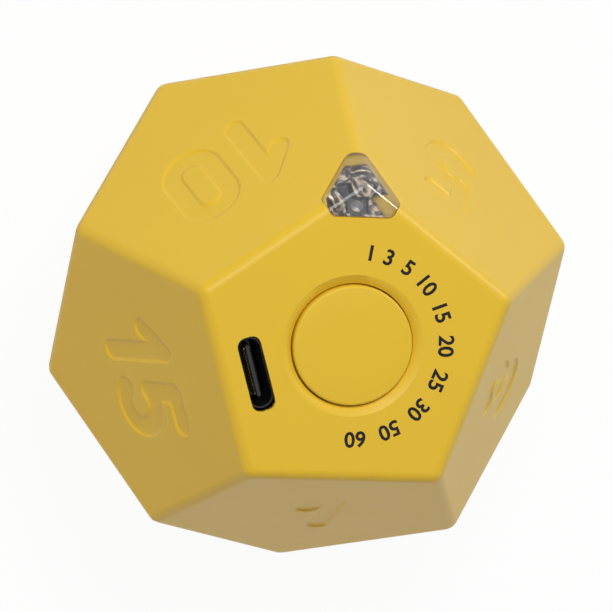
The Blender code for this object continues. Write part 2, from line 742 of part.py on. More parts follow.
def main_board():
    """The board under the button face, a pentagon in line with the walls round it."""
    sides = [(SIDE_AZIMUTH + STEP_ANGLE * i, BOARD_APOTHEM) for i in range(FACE_SIDES)]
    board = prism("board", rounded_outline(sides, BOARD_CORNER), BOARD_BOTTOM, BOARD_TOP)
    hole = circle_outline(SCREW_DIAMETER / 2 + SCREW_CLEARANCE, SMALL_ROUND_STEPS)
    pin_hole = circle_outline(HOLDER_PIN_DIAMETER / 2 + SCREW_CLEARANCE, SMALL_ROUND_STEPS)
    bottom, top = BOARD_BOTTOM - CUT_OVERRUN, BOARD_TOP + CUT_OVERRUN
    for _, x, y in boss_places():
        cut(board, put(prism("hole", hole, bottom, top), moved(x, y)))
    for side in (-1, 1):
        cut(board, put(prism("hole", pin_hole, bottom, top), moved(side * leg_x(), leg_y())))
    return finish(board, "main_board", BOARD_GREEN, 0.4)


def board_screw(name, x, y, frame):
    """A pan-head screw from under the board into its boss, with a plain round recess for the driver."""
    head, shank = SCREW_HEAD_DIAMETER / 2, SCREW_DIAMETER / 2
    under = -SEAT_GAP
    bottom = under - SCREW_HEAD_HEIGHT
    shoulder = SCREW_HEAD_HEIGHT / 2
    profile = [
        (0, bottom + SCREW_RECESS_DEPTH),
        (SCREW_RECESS_DIAMETER / 2, bottom + SCREW_RECESS_DEPTH),
        (SCREW_RECESS_DIAMETER / 2, bottom),
        (head - shoulder, bottom),
        (head, bottom + shoulder),
        (head, under),
        (shank, under),
        (shank, SCREW_LENGTH - SCREW_DIAMETER),
        (0, SCREW_LENGTH - SCREW_DIAMETER / 2),
    ]
    screw = turned(name, profile, SMALL_ROUND_STEPS)
    finish(screw, name, BRIGHT_STEEL, 0.3, 1.0, frame)
    screw.location = (x, y, -BOARD_THICKNESS)
    return screw


def charging_socket(frame):
    """The socket's steel shell, a cup on the board, and the tongue that carries its contacts."""
    place = slot_matrix()
    bottom = SEAT_GAP
    top = bottom + SOCKET_HEIGHT
    shell = prism("shell", socket_outline(), bottom, top)
    cut(shell, prism("room", socket_outline(-SOCKET_WALL), bottom + SOCKET_FLOOR, top + CUT_OVERRUN))
    finish(shell, "socket_shell", BLACK_PLASTIC, 0.35, 0.6, frame)
    floor = bottom + SOCKET_FLOOR + SEAT_GAP
    tongue_solid = prism("tongue", socket_outline(-SOCKET_WALL - SEAT_GAP), floor, floor + TONGUE_BASE_HEIGHT)
    plate = rounded_outline(rectangle_sides(TONGUE_PLATE_LENGTH, TONGUE_PLATE_THICKNESS), TONGUE_PLATE_THICKNESS / 4)
    join(tongue_solid, prism("plate", plate, floor + TONGUE_BASE_HEIGHT / 2, top - TONGUE_PLATE_RECESS))
    finish(tongue_solid, "socket_tongue", BLACK_PLASTIC, 0.4, frame=frame)
    for piece in (shell, tongue_solid):
        piece.matrix_local = place


def switch(frame):
    """The switch's base and its steel cover."""
    outline = rounded_outline(rectangle_sides(SWITCH_WIDTH, SWITCH_WIDTH), SWITCH_CORNER, 2)
    top = SEAT_GAP + SWITCH_BASE_HEIGHT
    base = prism("base", outline, SEAT_GAP, top)
    well = circle_outline(SWITCH_WELL_DIAMETER / 2)
    cut(base, prism("well", well, top - SWITCH_WELL_DEPTH, top + CUT_OVERRUN))
    finish(base, "switch_base", BLACK_PLASTIC, 0.5, frame=frame)
    cover_bottom = top + SEAT_GAP / 2
    cover = prism("cover", outline, cover_bottom, cover_bottom + SWITCH_COVER_THICKNESS)
    hole = circle_outline(PLUNGER_DIAMETER / 2 + SEAT_GAP)
    cut(cover, prism("hole", hole, cover_bottom - CUT_OVERRUN, cover_bottom + CUT_OVERRUN))
    finish(cover, "switch_cover", BRIGHT_STEEL, 0.3, 1.0, frame)


def switch_plunger(frame):
    """The switch's plunger, its origin on the button's axis."""
    stem, flange = PLUNGER_DIAMETER / 2, PLUNGER_FLANGE_DIAMETER / 2
    flange_top = SWITCH_BASE_HEIGHT
    flange_bottom = flange_top - PLUNGER_FLANGE_THICKNESS
    top = SEAT_GAP + SWITCH_HEIGHT
    edge = BUTTON_EDGE_ROUNDING
    profile = [
        (0, flange_bottom),
        (flange, flange_bottom),
        (flange, flange_top),
        (stem, flange_top),
        (stem, top - edge),
        (stem - edge, top),
        (0, top),
    ]
    return finish(turned("plunger", profile), "switch_plunger", BLACK_PLASTIC, 0.4, frame=frame)


def under_board(obj, shares):
    """Turn a piece over and put it under the board at shares of the board's half-width."""
    x, y = (share * BOARD_APOTHEM for share in shares)
    flip = Matrix.Rotation(math.radians(180), 4, "X")
    obj.matrix_local = moved(x, y, -BOARD_THICKNESS - SEAT_GAP) @ flip
    return obj


def chip(name, size, shares, frame, colour=BLACK_PLASTIC, metallic=0.0):
    """A chip or a can on the underside of the board."""
    piece = chamfered(name, size, CHIP_CHAMFER, 0)
    return under_board(finish(piece, name, colour, 0.4, metallic, frame), shares)


def buzzer(frame):
    """The buzzer, a round can with a sound port."""
    radius, port = BUZZER_DIAMETER / 2, BUZZER_PORT_DIAMETER / 2
    profile = [
        (0, 0),
        (radius, 0),
        (radius, BUZZER_HEIGHT - BUZZER_EDGE),
        (radius - BUZZER_EDGE, BUZZER_HEIGHT),
        (port, BUZZER_HEIGHT),
        (port, BUZZER_HEIGHT - BUZZER_PORT_DEPTH),
        (0, BUZZER_HEIGHT - BUZZER_PORT_DEPTH),
    ]
    can = finish(turned("buzzer", profile), "buzzer", BLACK_PLASTIC, 0.45, frame=frame)
    return under_board(can, BUZZER_PLACE_SHARES)


def battery_plug(frame):
    """The housing that the battery's wires plug into, open towards the battery."""
    length, width, height = PLUG_SIZE
    housing = chamfered("plug", PLUG_SIZE, CHIP_CHAMFER, 0)
    mouth = rounded_outline(rectangle_sides(length - 2 * PLUG_WALL, width - 2 * PLUG_WALL), PLUG_WALL / 2, 1)
    cut(housing, prism("mouth", mouth, height - PLUG_MOUTH_DEPTH, height + CUT_OVERRUN))
    return under_board(finish(housing, "battery_plug", WHITE_PLASTIC, 0.5, frame=frame), PLUG_PLACE_SHARES)


def battery():
    """The pouch cell on its foam pad."""
    length, width, thickness = BATTERY_SIZE
    low = rounded_outline(rectangle_sides(length, width - 2 * BATTERY_ROUNDING), BATTERY_ROUNDING)
    full = rounded_outline(rectangle_sides(length, width), BATTERY_ROUNDING)
    levels = (
        (low, 0),
        (full, BATTERY_ROUNDING),
        (full, thickness - BATTERY_ROUNDING),
        (low, thickness),
    )
    cell = stack("cell", [(outline, BATTERY_BOTTOM + height) for outline, height in levels])
    finish(cell, "battery_cell", CELL_FOIL, 0.35, 0.3)
    pad_sides = rectangle_sides(length - 2 * PAD_INSET, width - 2 * PAD_INSET)
    pad_outline = rounded_outline(pad_sides, BATTERY_ROUNDING)
    pad = prism("pad", pad_outline, PAD_BOTTOM, PAD_BOTTOM + PAD_THICKNESS)
    finish(pad, "battery_pad", FOAM_GREY, 0.9)


def battery_leads():
    """Two wires from the end of the battery up into its plug."""
    length, _, thickness = BATTERY_SIZE
    _, _, plug_height = PLUG_SIZE
    plug_x, plug_y = (share * BOARD_APOTHEM for share in PLUG_PLACE_SHARES)
    mouth = BOARD_BOTTOM - SEAT_GAP - plug_height
    floor = mouth + PLUG_MOUTH_DEPTH - SEAT_GAP
    for side, name, colour in ((-1, "battery_lead_red", LEAD_RED), (1, "battery_lead_black", BLACK_PLASTIC)):
        offset = side * BATTERY_LEAD_SPACING / 2
        start = Vector((length / 2 + SEAT_GAP, offset, BATTERY_BOTTOM + thickness * 0.7))
        leave = start + Vector((BATTERY_LEAD_SAG, 0, 0))
        end = Vector((plug_x + offset, plug_y, floor))
        arrive = Vector((end.x, end.y, mouth - BATTERY_LEAD_SAG))
        finish(lead(name, start, leave, arrive, end, BATTERY_LEAD_DIAMETER), name, colour, 0.5)


def board_parts():
    """Everything that stands on the main board or hangs under it."""
    frame = empty("board_frame", Matrix.Translation((0, 0, BOARD_TOP)))
    for number, (_, x, y) in enumerate(boss_places(), 1):
        board_screw(f"board_screw_{number}", x, y, frame)
    charging_socket(frame)
    switch(frame)
    switch_plunger(frame)
    chip("microcontroller", CONTROLLER_SIZE, CONTROLLER_PLACE_SHARES, frame)
    chip("motion_sensor", SENSOR_SIZE, SENSOR_PLACE_SHARES, frame)
    chip("charge_controller", CHARGER_SIZE, CHARGER_PLACE_SHARES, frame)
    chip("crystal", CRYSTAL_SIZE, CRYSTAL_PLACE_SHARES, frame, BRIGHT_STEEL, 1.0)
    buzzer(frame)
    battery_plug(frame)


def window_parts():
    """The lens in the corner and the light behind it."""
    frame = empty("window_frame", window_matrix())
    window_lens(frame)
    light_holder(frame)
    light_board(frame)
    signal_light(frame)
    light_leads()


def main():
    """Build the timer."""
    for obj in list(bpy.data.objects):
        bpy.data.objects.remove(obj)
    upper_shell()
    lower_shell()
    button_cap()
    main_board()
    window_parts()
    board_parts()
    battery()
    battery_leads()


main()
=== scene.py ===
"""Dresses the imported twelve-sided flip timer for its picture.

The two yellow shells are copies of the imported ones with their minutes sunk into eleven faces, and the clear
corner window is one with its outside laid on the body's exact skin. The button, the window's light, the
charging socket, the screws and the printed ring of numbers are made here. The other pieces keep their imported
shapes and get their finishes.
"""

import json
import logging
import math
from collections.abc import Callable, Iterable, Mapping, Sequence
from dataclasses import dataclass
from enum import Enum
from functools import cache
from typing import Any

import bmesh
import bpy
import numpy as np
from mathutils import Matrix, Vector
from mathutils.geometry import delaunay_2d_cdt

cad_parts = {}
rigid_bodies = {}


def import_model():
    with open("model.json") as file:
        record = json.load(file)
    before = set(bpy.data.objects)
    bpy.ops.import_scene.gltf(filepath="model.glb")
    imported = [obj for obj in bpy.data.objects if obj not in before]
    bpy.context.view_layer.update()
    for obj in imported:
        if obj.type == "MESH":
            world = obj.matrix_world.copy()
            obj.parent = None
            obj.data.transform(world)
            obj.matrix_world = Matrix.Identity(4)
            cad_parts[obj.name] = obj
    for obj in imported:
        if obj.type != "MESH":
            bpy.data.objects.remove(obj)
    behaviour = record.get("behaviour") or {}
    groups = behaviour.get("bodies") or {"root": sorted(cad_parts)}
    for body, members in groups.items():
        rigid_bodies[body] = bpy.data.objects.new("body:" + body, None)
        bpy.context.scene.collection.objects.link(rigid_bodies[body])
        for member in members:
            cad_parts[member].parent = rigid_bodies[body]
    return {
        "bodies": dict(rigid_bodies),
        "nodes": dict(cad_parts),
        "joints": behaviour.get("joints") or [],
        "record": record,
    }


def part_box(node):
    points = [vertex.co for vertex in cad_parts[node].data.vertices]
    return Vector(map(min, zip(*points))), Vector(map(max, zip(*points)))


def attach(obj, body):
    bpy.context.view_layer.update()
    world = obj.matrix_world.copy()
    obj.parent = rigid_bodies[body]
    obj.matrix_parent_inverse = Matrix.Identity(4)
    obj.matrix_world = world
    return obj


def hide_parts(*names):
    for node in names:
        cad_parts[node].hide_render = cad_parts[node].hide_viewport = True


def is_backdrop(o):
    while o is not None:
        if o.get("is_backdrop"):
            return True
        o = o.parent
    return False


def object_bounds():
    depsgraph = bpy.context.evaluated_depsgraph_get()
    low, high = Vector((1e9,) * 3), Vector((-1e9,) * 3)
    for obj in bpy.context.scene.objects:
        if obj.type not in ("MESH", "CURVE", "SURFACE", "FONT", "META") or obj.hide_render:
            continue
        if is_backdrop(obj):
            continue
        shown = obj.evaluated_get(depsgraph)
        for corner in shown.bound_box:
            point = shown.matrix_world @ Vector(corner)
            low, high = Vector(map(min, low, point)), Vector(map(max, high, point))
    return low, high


log = logging.getLogger("flip_timer")

Colour = tuple[float, float, float]
Outline = list[tuple[float, float]]
Reach = Callable[[float], float]

MM = 0.001
WELD = MM / 1000
TINY = 1e-9
SAME_SIDE = 0.6
SIDEWAYS = 0.05
SHORTEST_LINE = 8
FEWEST_POINTS = 12
LEAST_SLOPE = 0.2
LEAST_SHARE = 1e-3
NET_SLACK = 1e-6

GOLDEN = (1 + math.sqrt(5)) / 2
FACE_SIDES = 5
STEP_ANGLE = 360 / FACE_SIDES
SIDE_SLOPE = 1 / 2
WINDOW_AZIMUTH = 90.0
SIDE_AZIMUTH = WINDOW_AZIMUTH + STEP_ANGLE / 2
INRADIUS_PER_EDGE = GOLDEN**2 / (2 * math.sqrt(3 - GOLDEN))


def polar(radius: float, degrees: float, height: float = 0.0) -> Vector:
    """The point at a radius, an angle from +X and a height."""
    angle = math.radians(degrees)
    return Vector((radius * math.cos(angle), radius * math.sin(angle), height))


def srgb(red: int, green: int, blue: int) -> Colour:
    """The linear colour of three screen values from 0 to 255."""
    shares = (value / 255 for value in (red, green, blue))
    return tuple(s / 12.92 if s <= 0.04045 else ((s + 0.055) / 1.055) ** 2.4 for s in shares)


class Body(Enum):
    """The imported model's bodies that dressed pieces ride on."""

    HOUSING = "housing"
    BUTTON = "button"


class FaceRing(Enum):
    """Where a face lies on the body, with how its normal rises and which way its number stands."""

    TOP = (0.0, 1.0)
    UPPER = (1.0, 1.0)
    LOWER = (-1.0, -1.0)
    BOTTOM = (0.0, -1.0)


@dataclass(frozen=True)
class FaceFrame:
    """A face of the body with its own axes: across to the right, up towards the number's top, and out."""

    origin: Vector
    across: Vector
    up: Vector
    out: Vector

    def flat(self, point: Vector) -> tuple[float, float]:
        """A point's place in the plane of the face."""
        offset = point - self.origin
        return offset.dot(self.across), offset.dot(self.up)

    def point(self, x: float, y: float, lift: float = 0.0) -> Vector:
        """The point in space at a place in the plane, lifted off it."""
        return self.origin + self.across * x + self.up * y + self.out * lift

    def direction(self, x: float, y: float, out: float) -> Vector:
        """A direction given along the face's own axes."""
        return (self.across * x + self.up * y + self.out * out).normalized()


@dataclass(frozen=True)
class Dodecahedron:
    """The regular body that both shells and the window are parts of."""

    face_to_face: float

    @property
    def inradius(self) -> float:
        """From the middle to each face."""
        return self.face_to_face / 2

    @property
    def edge(self) -> float:
        """The length of a sharp edge."""
        return self.inradius / INRADIUS_PER_EDGE

    @property
    def apothem(self) -> float:
        """From the middle of a face to its edges."""
        return self.edge / (2 * math.tan(math.radians(STEP_ANGLE / 2)))

    @property
    def corner(self) -> float:
        """From the middle of a face to its corners."""
        return self.edge / (2 * math.sin(math.radians(STEP_ANGLE / 2)))

    @property
    def middle(self) -> Vector:
        """The middle of the body."""
        return Vector((0, 0, self.inradius))

    def face(self, ring: FaceRing, azimuth: float = 0.0) -> FaceFrame:
        """The frame of one face.

        Args:
            ring: where the face lies.
            azimuth: which way a side face looks, in degrees from +X.

        Returns:
            The face's frame, its up axis towards the nearer end face.
        """
        rise, end = ring.value
        if rise:
            out = polar(1 / SIDE_SLOPE, azimuth, rise).normalized()
            up = (Vector((0, 0, end)) - out * (out.z * end)).normalized()
        else:
            out = Vector((0, 0, end))
            up = Vector((0, 1, 0))
        return FaceFrame(self.middle + out * self.inradius, up.cross(out), up, out)

    def normals(self) -> np.ndarray:
        """The outward normals of the twelve faces, one a row.

        Returns:
            The normals.
        """
        frames = [self.face(FaceRing.TOP), self.face(FaceRing.BOTTOM)]
        for i in range(FACE_SIDES):
            azimuth = SIDE_AZIMUTH + STEP_ANGLE * i
            frames.append(self.face(FaceRing.UPPER, azimuth))
            frames.append(self.face(FaceRing.LOWER, azimuth + STEP_ANGLE / 2))
        return np.array([frame.out for frame in frames])

    @property
    def window(self) -> Matrix:
        """The window's own frame: its origin at the sharp corner, Z out along the corner's axis.

        Returns:
            The frame, as a matrix from the window to the body.
        """
        out = Vector((0, self.corner, self.inradius)).normalized()
        across = Vector((1, 0, 0))
        turn = Matrix((across, out.cross(across), out)).transposed()
        return Matrix.Translation((0, self.corner, self.face_to_face)) @ turn.to_4x4()

    def waist_planes(self, shift: float) -> list[tuple[float, Vector, Vector]]:
        """The ten planes through the middle and the waist's edges, moved up.

        Args:
            shift: how far up the planes are moved.

        Returns:
            For each plane the azimuth at its middle, a point on it and its normal.
        """
        start = self.middle + Vector((0, 0, shift))
        radius = self.corner * GOLDEN
        level = self.inradius - math.sqrt(self.edge**2 - (radius - self.corner) ** 2)
        planes = []
        for i in range(2 * FACE_SIDES):
            azimuth = WINDOW_AZIMUTH + STEP_ANGLE / 2 * i
            heights = (level, -level) if i % 2 == 0 else (-level, level)
            first, second = (
                polar(radius, azimuth + STEP_ANGLE / 2 * step, height) for step, height in enumerate(heights)
            )
            planes.append((azimuth + STEP_ANGLE / 4, start, first.cross(second).normalized()))
        return planes

    def skin_place(self, point: Vector, rounding: float, tolerance: float) -> tuple[Vector, Vector] | None:
        """The nearest place on the rounded body's skin, with its outward normal.

        Args:
            point: the point, in the row's frame.
            rounding: the radius of the body's edges.
            tolerance: how far off the skin a point may lie.

        Returns:
            The place and the normal, or None where the point isn't on the skin.
        """
        normals = self.normals()
        offset = np.array(point - self.middle)
        over = normals @ offset - (self.inradius - rounding)
        active = [i for i in np.argsort(-over)[:3] if over[i] > rounding * LEAST_SHARE]
        while active:
            rows = normals[active]
            share = np.linalg.solve(rows @ rows.T, over[active])
            if share.min() >= 0 or len(active) == 1:
                away = share @ rows
                length = float(np.linalg.norm(away))
                if abs(length - rounding) > tolerance:
                    return None
                normal = Vector(away / length)
                return point + normal * (rounding - length), normal
            active.pop(int(share.argmin()))
        return None

    def skin_normal(self, point: Vector, rounding: float, tolerance: float) -> Vector | None:
        """The exact outward normal at a point of the skin, or None off the skin."""
        found = self.skin_place(point, rounding, tolerance)
        return found[1] if found else None


BODY = Dodecahedron(face_to_face=0.0520)


class Signal:
    """A value in a tree of nodes, which Python's operators add Math nodes to."""

    def __init__(self, maker: "NodeMaker", socket: bpy.types.NodeSocket | None) -> None:
        """Keeps the maker and the socket."""
        self.maker = maker
        self.socket = socket

    def maths(self, operation: str, other: "Signal | float" = 0.0, clamp: bool = False) -> "Signal":
        """A Math node on this value and another.

        Args:
            operation: the node's operation.
            other: the second value.
            clamp: whether the result is kept from 0 to 1.

        Returns:
            The node's result.
        """
        settings = {"operation": operation, "use_clamp": clamp}
        return self.maker.node("ShaderNodeMath", settings, {0: self, 1: other})

    def __add__(self, other: "Signal | float") -> "Signal":
        """The sum."""
        return self.maths("ADD", other)

    __radd__ = __add__

    def __sub__(self, other: "Signal | float") -> "Signal":
        """The difference."""
        return self.maths("SUBTRACT", other)

    def __mul__(self, other: "Signal | float") -> "Signal":
        """The product."""
        return self.maths("MULTIPLY", other)

    def above(self, limit: float) -> "Signal":
        """1 where the value is above a limit, and else 0."""
        return self.maths("GREATER_THAN", limit)

    def larger(self, other: "Signal") -> "Signal":
        """The larger of two values."""
        return self.maths("MAXIMUM", other)

    def clamped(self) -> "Signal":
        """The value kept from 0 to 1."""
        return self.maths("ADD", clamp=True)

    def waves(self) -> "Signal":
        """The sine of the value."""
        return self.maths("SINE")


class NodeMaker:
    """Adds nodes to the tree of a material, of the world or of Geometry Nodes."""

    def __init__(self, tree: bpy.types.NodeTree) -> None:
        """Empties the tree."""
        self.tree = tree
        self.tree.nodes.clear()

    def node(
        self,
        kind: str,
        settings: Mapping[str, Any] | None = None,
        sockets: Mapping[str | int, Any] | None = None,
        result: str | int = 0,
    ) -> Signal:
        """Adds a node.

        Args:
            kind: the node's type.
            settings: its own settings, set first.
            sockets: the values or the links of its inputs.
            result: which output is given back.

        Returns:
            The chosen output.
        """
        made = self.tree.nodes.new(kind)
        for key, value in (settings or {}).items():
            setattr(made, key, value)
        for key, value in (sockets or {}).items():
            if isinstance(value, Signal):
                self.tree.links.new(value.socket, made.inputs[key])
            else:
                made.inputs[key].default_value = value
        return Signal(self, made.outputs[result] if len(made.outputs) else None)


class ShaderMaker(NodeMaker):
    """Adds the nodes of a shader."""

    def place(self) -> Signal:
        """The point on the piece, in metres."""
        return self.node("ShaderNodeTexCoord", result="Object")

    def noise(self, size: float, detail: float = 2.0, roughness: float = 0.5) -> Signal:
        """Soft noise from 0 to 1 with patches of a size in metres."""
        sockets = {"Vector": self.place(), "Scale": 1 / size, "Detail": detail, "Roughness": roughness}
        return self.node("ShaderNodeTexNoise", {"noise_dimensions": "3D"}, sockets)

    def blend(self, share: Signal | float, first: Any, second: Any) -> Signal:
        """A colour that goes from the first to the second as the share rises.

        Args:
            share: how much of the second colour there is, 0 to 1.
            first: a colour or a signal.
            second: a colour or a signal.

        Returns:
            The mixed colour.
        """
        first, second = ((*c, 1.0) if isinstance(c, tuple) else c for c in (first, second))
        settings = {"data_type": "RGBA"}
        return self.node("ShaderNodeMix", settings, {"Factor": share, 6: first, 7: second}, result=2)

    def bump(self, height: Signal, depth: float) -> Signal:
        """The normal of a surface raised by height times a depth in metres."""
        return self.node("ShaderNodeBump", sockets={"Height": height, "Distance": depth, "Strength": 1.0})

    def surface(self, **sockets: Any) -> Signal:
        """The main shader with its sockets given by name.

        Args:
            **sockets: values or signals, with underscores for the spaces in the names.

        Returns:
            The shader.
        """
        named = {}
        for key, value in sockets.items():
            label = key.replace("_", " ")
            named[label] = (*value, 1.0) if isinstance(value, tuple) and len(value) == 3 else value
        return self.node("ShaderNodeBsdfPrincipled", sockets=named)

    def mixed(self, share: Signal, first: Signal, second: Signal) -> Signal:
        """A shader that goes from the first to the second as the share rises."""
        return self.node("ShaderNodeMixShader", sockets={0: share, 1: first, 2: second})

    def seen(self) -> Signal:
        """What tells the camera's rays from the light's.

        Returns:
            1 for what the camera sees, directly, in a reflection or through glass, and else 0.
        """
        kinds = ("Camera", "Glossy", "Transmission")
        camera, glossy, clear = (self.node("ShaderNodeLightPath", result=f"Is {kind} Ray") for kind in kinds)
        return camera.larger(glossy).larger(clear)


@dataclass(frozen=True)
class Finish:
    """What a piece is made of. Lengths are metres."""

    name: str
    colour: Colour

    def shader(self, maker: ShaderMaker) -> Signal:
        """The finish's shader."""
        raise NotImplementedError

    def tinted(self, share: float, added: float = 0.0) -> Colour:
        """The colour times a share, with something added."""
        return tuple(min(1.0, value * share + added) for value in self.colour)

    def material(self) -> bpy.types.Material:
        """Makes the material.

        Returns:
            The new material.
        """
        material = bpy.data.materials.new(self.name)
        material.use_nodes = True
        maker = ShaderMaker(material.node_tree)
        maker.node("ShaderNodeOutputMaterial", sockets={"Surface": self.shader(maker)})
        return material


@dataclass(frozen=True)
class MouldedPlastic(Finish):
    """Opaque plastic with the fine even grain of a spark-eroded mould."""

    roughness: float = 0.42
    roughness_spread: float = 0.05
    roughness_patch: float = 0.004
    grain: float = 0.00022
    grain_depth: float = 0.000006
    mottle: float = 0.03
    mottle_patch: float = 0.014
    ior: float = 1.47

    def shader(self, maker: ShaderMaker) -> Signal:
        """Faintly mottled, with uneven gloss and grain.

        Args:
            maker: makes the material's nodes.

        Returns:
            The material's shader.
        """
        spread = self.roughness_spread
        mottle = maker.noise(self.mottle_patch, 3.0)
        return maker.surface(
            Base_Color=maker.blend(mottle, self.tinted(1 - self.mottle), self.tinted(1 + self.mottle)),
            Roughness=self.roughness - spread / 2 + maker.noise(self.roughness_patch) * spread,
            IOR=self.ior,
            Normal=maker.bump(maker.noise(self.grain, 3.0, 0.6), self.grain_depth),
        )


@dataclass(frozen=True)
class ClearPlastic(Finish):
    """Clear moulded plastic, which lets the lamps' light through to what is behind it."""

    passing: Colour
    roughness: float = 0.03
    haze_patch: float = 0.003
    wave: float = 0.0016
    wave_depth: float = 0.000004
    ior: float = 1.49

    def shader(self, maker: ShaderMaker) -> Signal:
        """Clear to the eye and a colour filter to the lamps.

        Args:
            maker: makes the material's nodes.

        Returns:
            The material's shader.
        """
        clear = maker.surface(
            Base_Color=self.colour,
            Roughness=self.roughness + maker.noise(self.haze_patch) * self.roughness,
            IOR=self.ior,
            Transmission_Weight=1.0,
            Normal=maker.bump(maker.noise(self.wave, 1.0), self.wave_depth),
        )
        shadow = maker.node("ShaderNodeLightPath", result="Is Shadow Ray")
        straight = maker.node("ShaderNodeBsdfTransparent", sockets={"Color": (*self.passing, 1.0)})
        return maker.mixed(shadow, clear, straight)


@dataclass(frozen=True)
class Metal(Finish):
    """Bare or plated metal with fine marks and faint stains."""

    roughness: float = 0.28
    roughness_rise: float = 0.5
    mark: float = 0.00008
    mark_depth: float = 0.000002
    stain: float = 0.12
    stain_patch: float = 0.0022

    def shader(self, maker: ShaderMaker) -> Signal:
        """Duller where it is stained.

        Args:
            maker: makes the material's nodes.

        Returns:
            The material's shader.
        """
        stains = maker.noise(self.stain_patch, 3.0)
        return maker.surface(
            Base_Color=maker.blend(stains, self.colour, self.tinted(1 - self.stain)),
            Roughness=self.roughness + stains * self.roughness * self.roughness_rise,
            Metallic=1.0,
            Normal=maker.bump(maker.noise(self.mark, 4.0, 0.7), self.mark_depth),
        )


@dataclass(frozen=True)
class GlintPaintedMetal(Finish):
    """Dark metallised plastic with bright patches painted on the tops of its dents: painted glints."""

    # The colour of the painted glints.
    bright: Colour
    roughness: float = 0.20
    roughness_rise: float = 0.3
    patch: float = 0.0006
    dent_depth: float = 0.00004
    contrast: float = 7.0
    threshold: float = 3.2

    def shader(self, maker: ShaderMaker) -> Signal:
        """Painted glints: the bright colour on the higher dents.

        Args:
            maker: makes the material's nodes.

        Returns:
            The material's shader.
        """
        dents = maker.noise(self.patch, 2.0, 0.6)
        # The share of the painted glint colour, high on the dent tops.
        share = (dents * self.contrast - self.threshold).clamped()
        return maker.surface(
            Base_Color=maker.blend(share, self.colour, self.bright),
            Roughness=self.roughness + dents * self.roughness * self.roughness_rise,
            Metallic=1.0,
            Normal=maker.bump(dents, self.dent_depth),
        )


@dataclass(frozen=True)
class Speckled(Finish):
    """Ink or resin with a fine paler speckle."""

    speckle: float
    detail: float
    depth: float
    share: float = 1.0
    added: float = 0.0
    roughness: float = 0.35
    roughness_rise: float = 0.0
    specular: float = 0.5

    def shader(self, maker: ShaderMaker) -> Signal:
        """Paler and rougher on the speckles.

        Args:
            maker: makes the material's nodes.

        Returns:
            The material's shader.
        """
        speckle = maker.noise(self.speckle, self.detail)
        rough = self.roughness + speckle * self.roughness_rise if self.roughness_rise else self.roughness
        return maker.surface(
            Base_Color=maker.blend(speckle, self.colour, self.tinted(self.share, self.added)),
            Roughness=rough,
            Specular_IOR_Level=self.specular,
            Normal=maker.bump(speckle, self.depth),
        )


@dataclass(frozen=True)
class SolderMask(Finish):
    """A circuit board's lacquer over its copper tracks."""

    track: Colour
    pitch: float = 0.0011
    wander: float = 0.009
    wander_reach: float = 0.010
    block: float = 0.006
    block_limit: float = 0.52
    step: float = 0.00003
    roughness: float = 0.32
    roughness_rise: float = 0.1
    roughness_patch: float = 0.0006

    def shader(self, maker: ShaderMaker) -> Signal:
        """Raised tracks in some blocks of the board.

        Args:
            maker: makes the material's nodes.

        Returns:
            The material's shader.
        """
        across = maker.node("ShaderNodeSeparateXYZ", sockets={0: maker.place()})
        lanes = (across + maker.noise(self.wander, 0.0) * self.wander_reach) * (2 * math.pi / self.pitch)
        tracks = (lanes.waves() * 4).clamped() * maker.noise(self.block, 0.0).above(self.block_limit)
        return maker.surface(
            Base_Color=maker.blend(tracks, self.colour, self.track),
            Roughness=self.roughness + maker.noise(self.roughness_patch) * self.roughness_rise,
            Normal=maker.bump(tracks, self.step),
        )


@dataclass(frozen=True)
class Foam(Finish):
    """Open-celled foam."""

    cell: float = 0.0004
    cell_depth: float = 0.00012
    # How dark the painted shade in the pits is.
    shade: float = 0.35
    roughness: float = 0.95

    def shader(self, maker: ShaderMaker) -> Signal:
        """Painted shade: darker in the pits of the cells.

        Args:
            maker: makes the material's nodes.

        Returns:
            The material's shader.
        """
        sockets = {"Vector": maker.place(), "Scale": 1 / self.cell}
        cells = maker.node("ShaderNodeTexVoronoi", {"feature": "F1"}, sockets)
        return maker.surface(
            # Painted shade: the colour darkens towards each cell's pit.
            Base_Color=maker.blend(cells.clamped(), self.tinted(self.shade), self.colour),
            Roughness=self.roughness,
            Normal=maker.bump(cells, self.cell_depth),
        )


@dataclass(frozen=True)
class CellFoil(Finish):
    """The crinkled laminate round a pouch cell."""

    crease: float = 0.004
    weave: float = 0.00025
    weave_share: float = 0.08
    depth: float = 0.00012
    roughness: float = 0.3
    roughness_rise: float = 0.2
    metallic: float = 0.85

    def shader(self, maker: ShaderMaker) -> Signal:
        """Creased and finely woven.

        Args:
            maker: makes the material's nodes.

        Returns:
            The material's shader.
        """
        creases = maker.noise(self.crease, 4.0, 0.6)
        return maker.surface(
            Base_Color=self.colour,
            Roughness=self.roughness + creases * self.roughness_rise,
            Metallic=self.metallic,
            Normal=maker.bump(creases + maker.noise(self.weave) * self.weave_share, self.depth),
        )


@dataclass(frozen=True)
class PaleFloor(Finish):
    """A floor that glows pale to the eye and still keeps a shadow."""

    glow: float = 0.95

    def shader(self, maker: ShaderMaker) -> Signal:
        """Matt, and mostly white light where it is seen.

        Args:
            maker: makes the material's nodes.

        Returns:
            The material's shader.
        """
        matt = maker.node("ShaderNodeBsdfDiffuse", sockets={"Color": (*self.colour, 1.0)})
        white = maker.node("ShaderNodeEmission", sockets={"Color": (1.0, 1.0, 1.0, 1.0), "Strength": 1.0})
        return maker.mixed(maker.seen() * self.glow, matt, white)


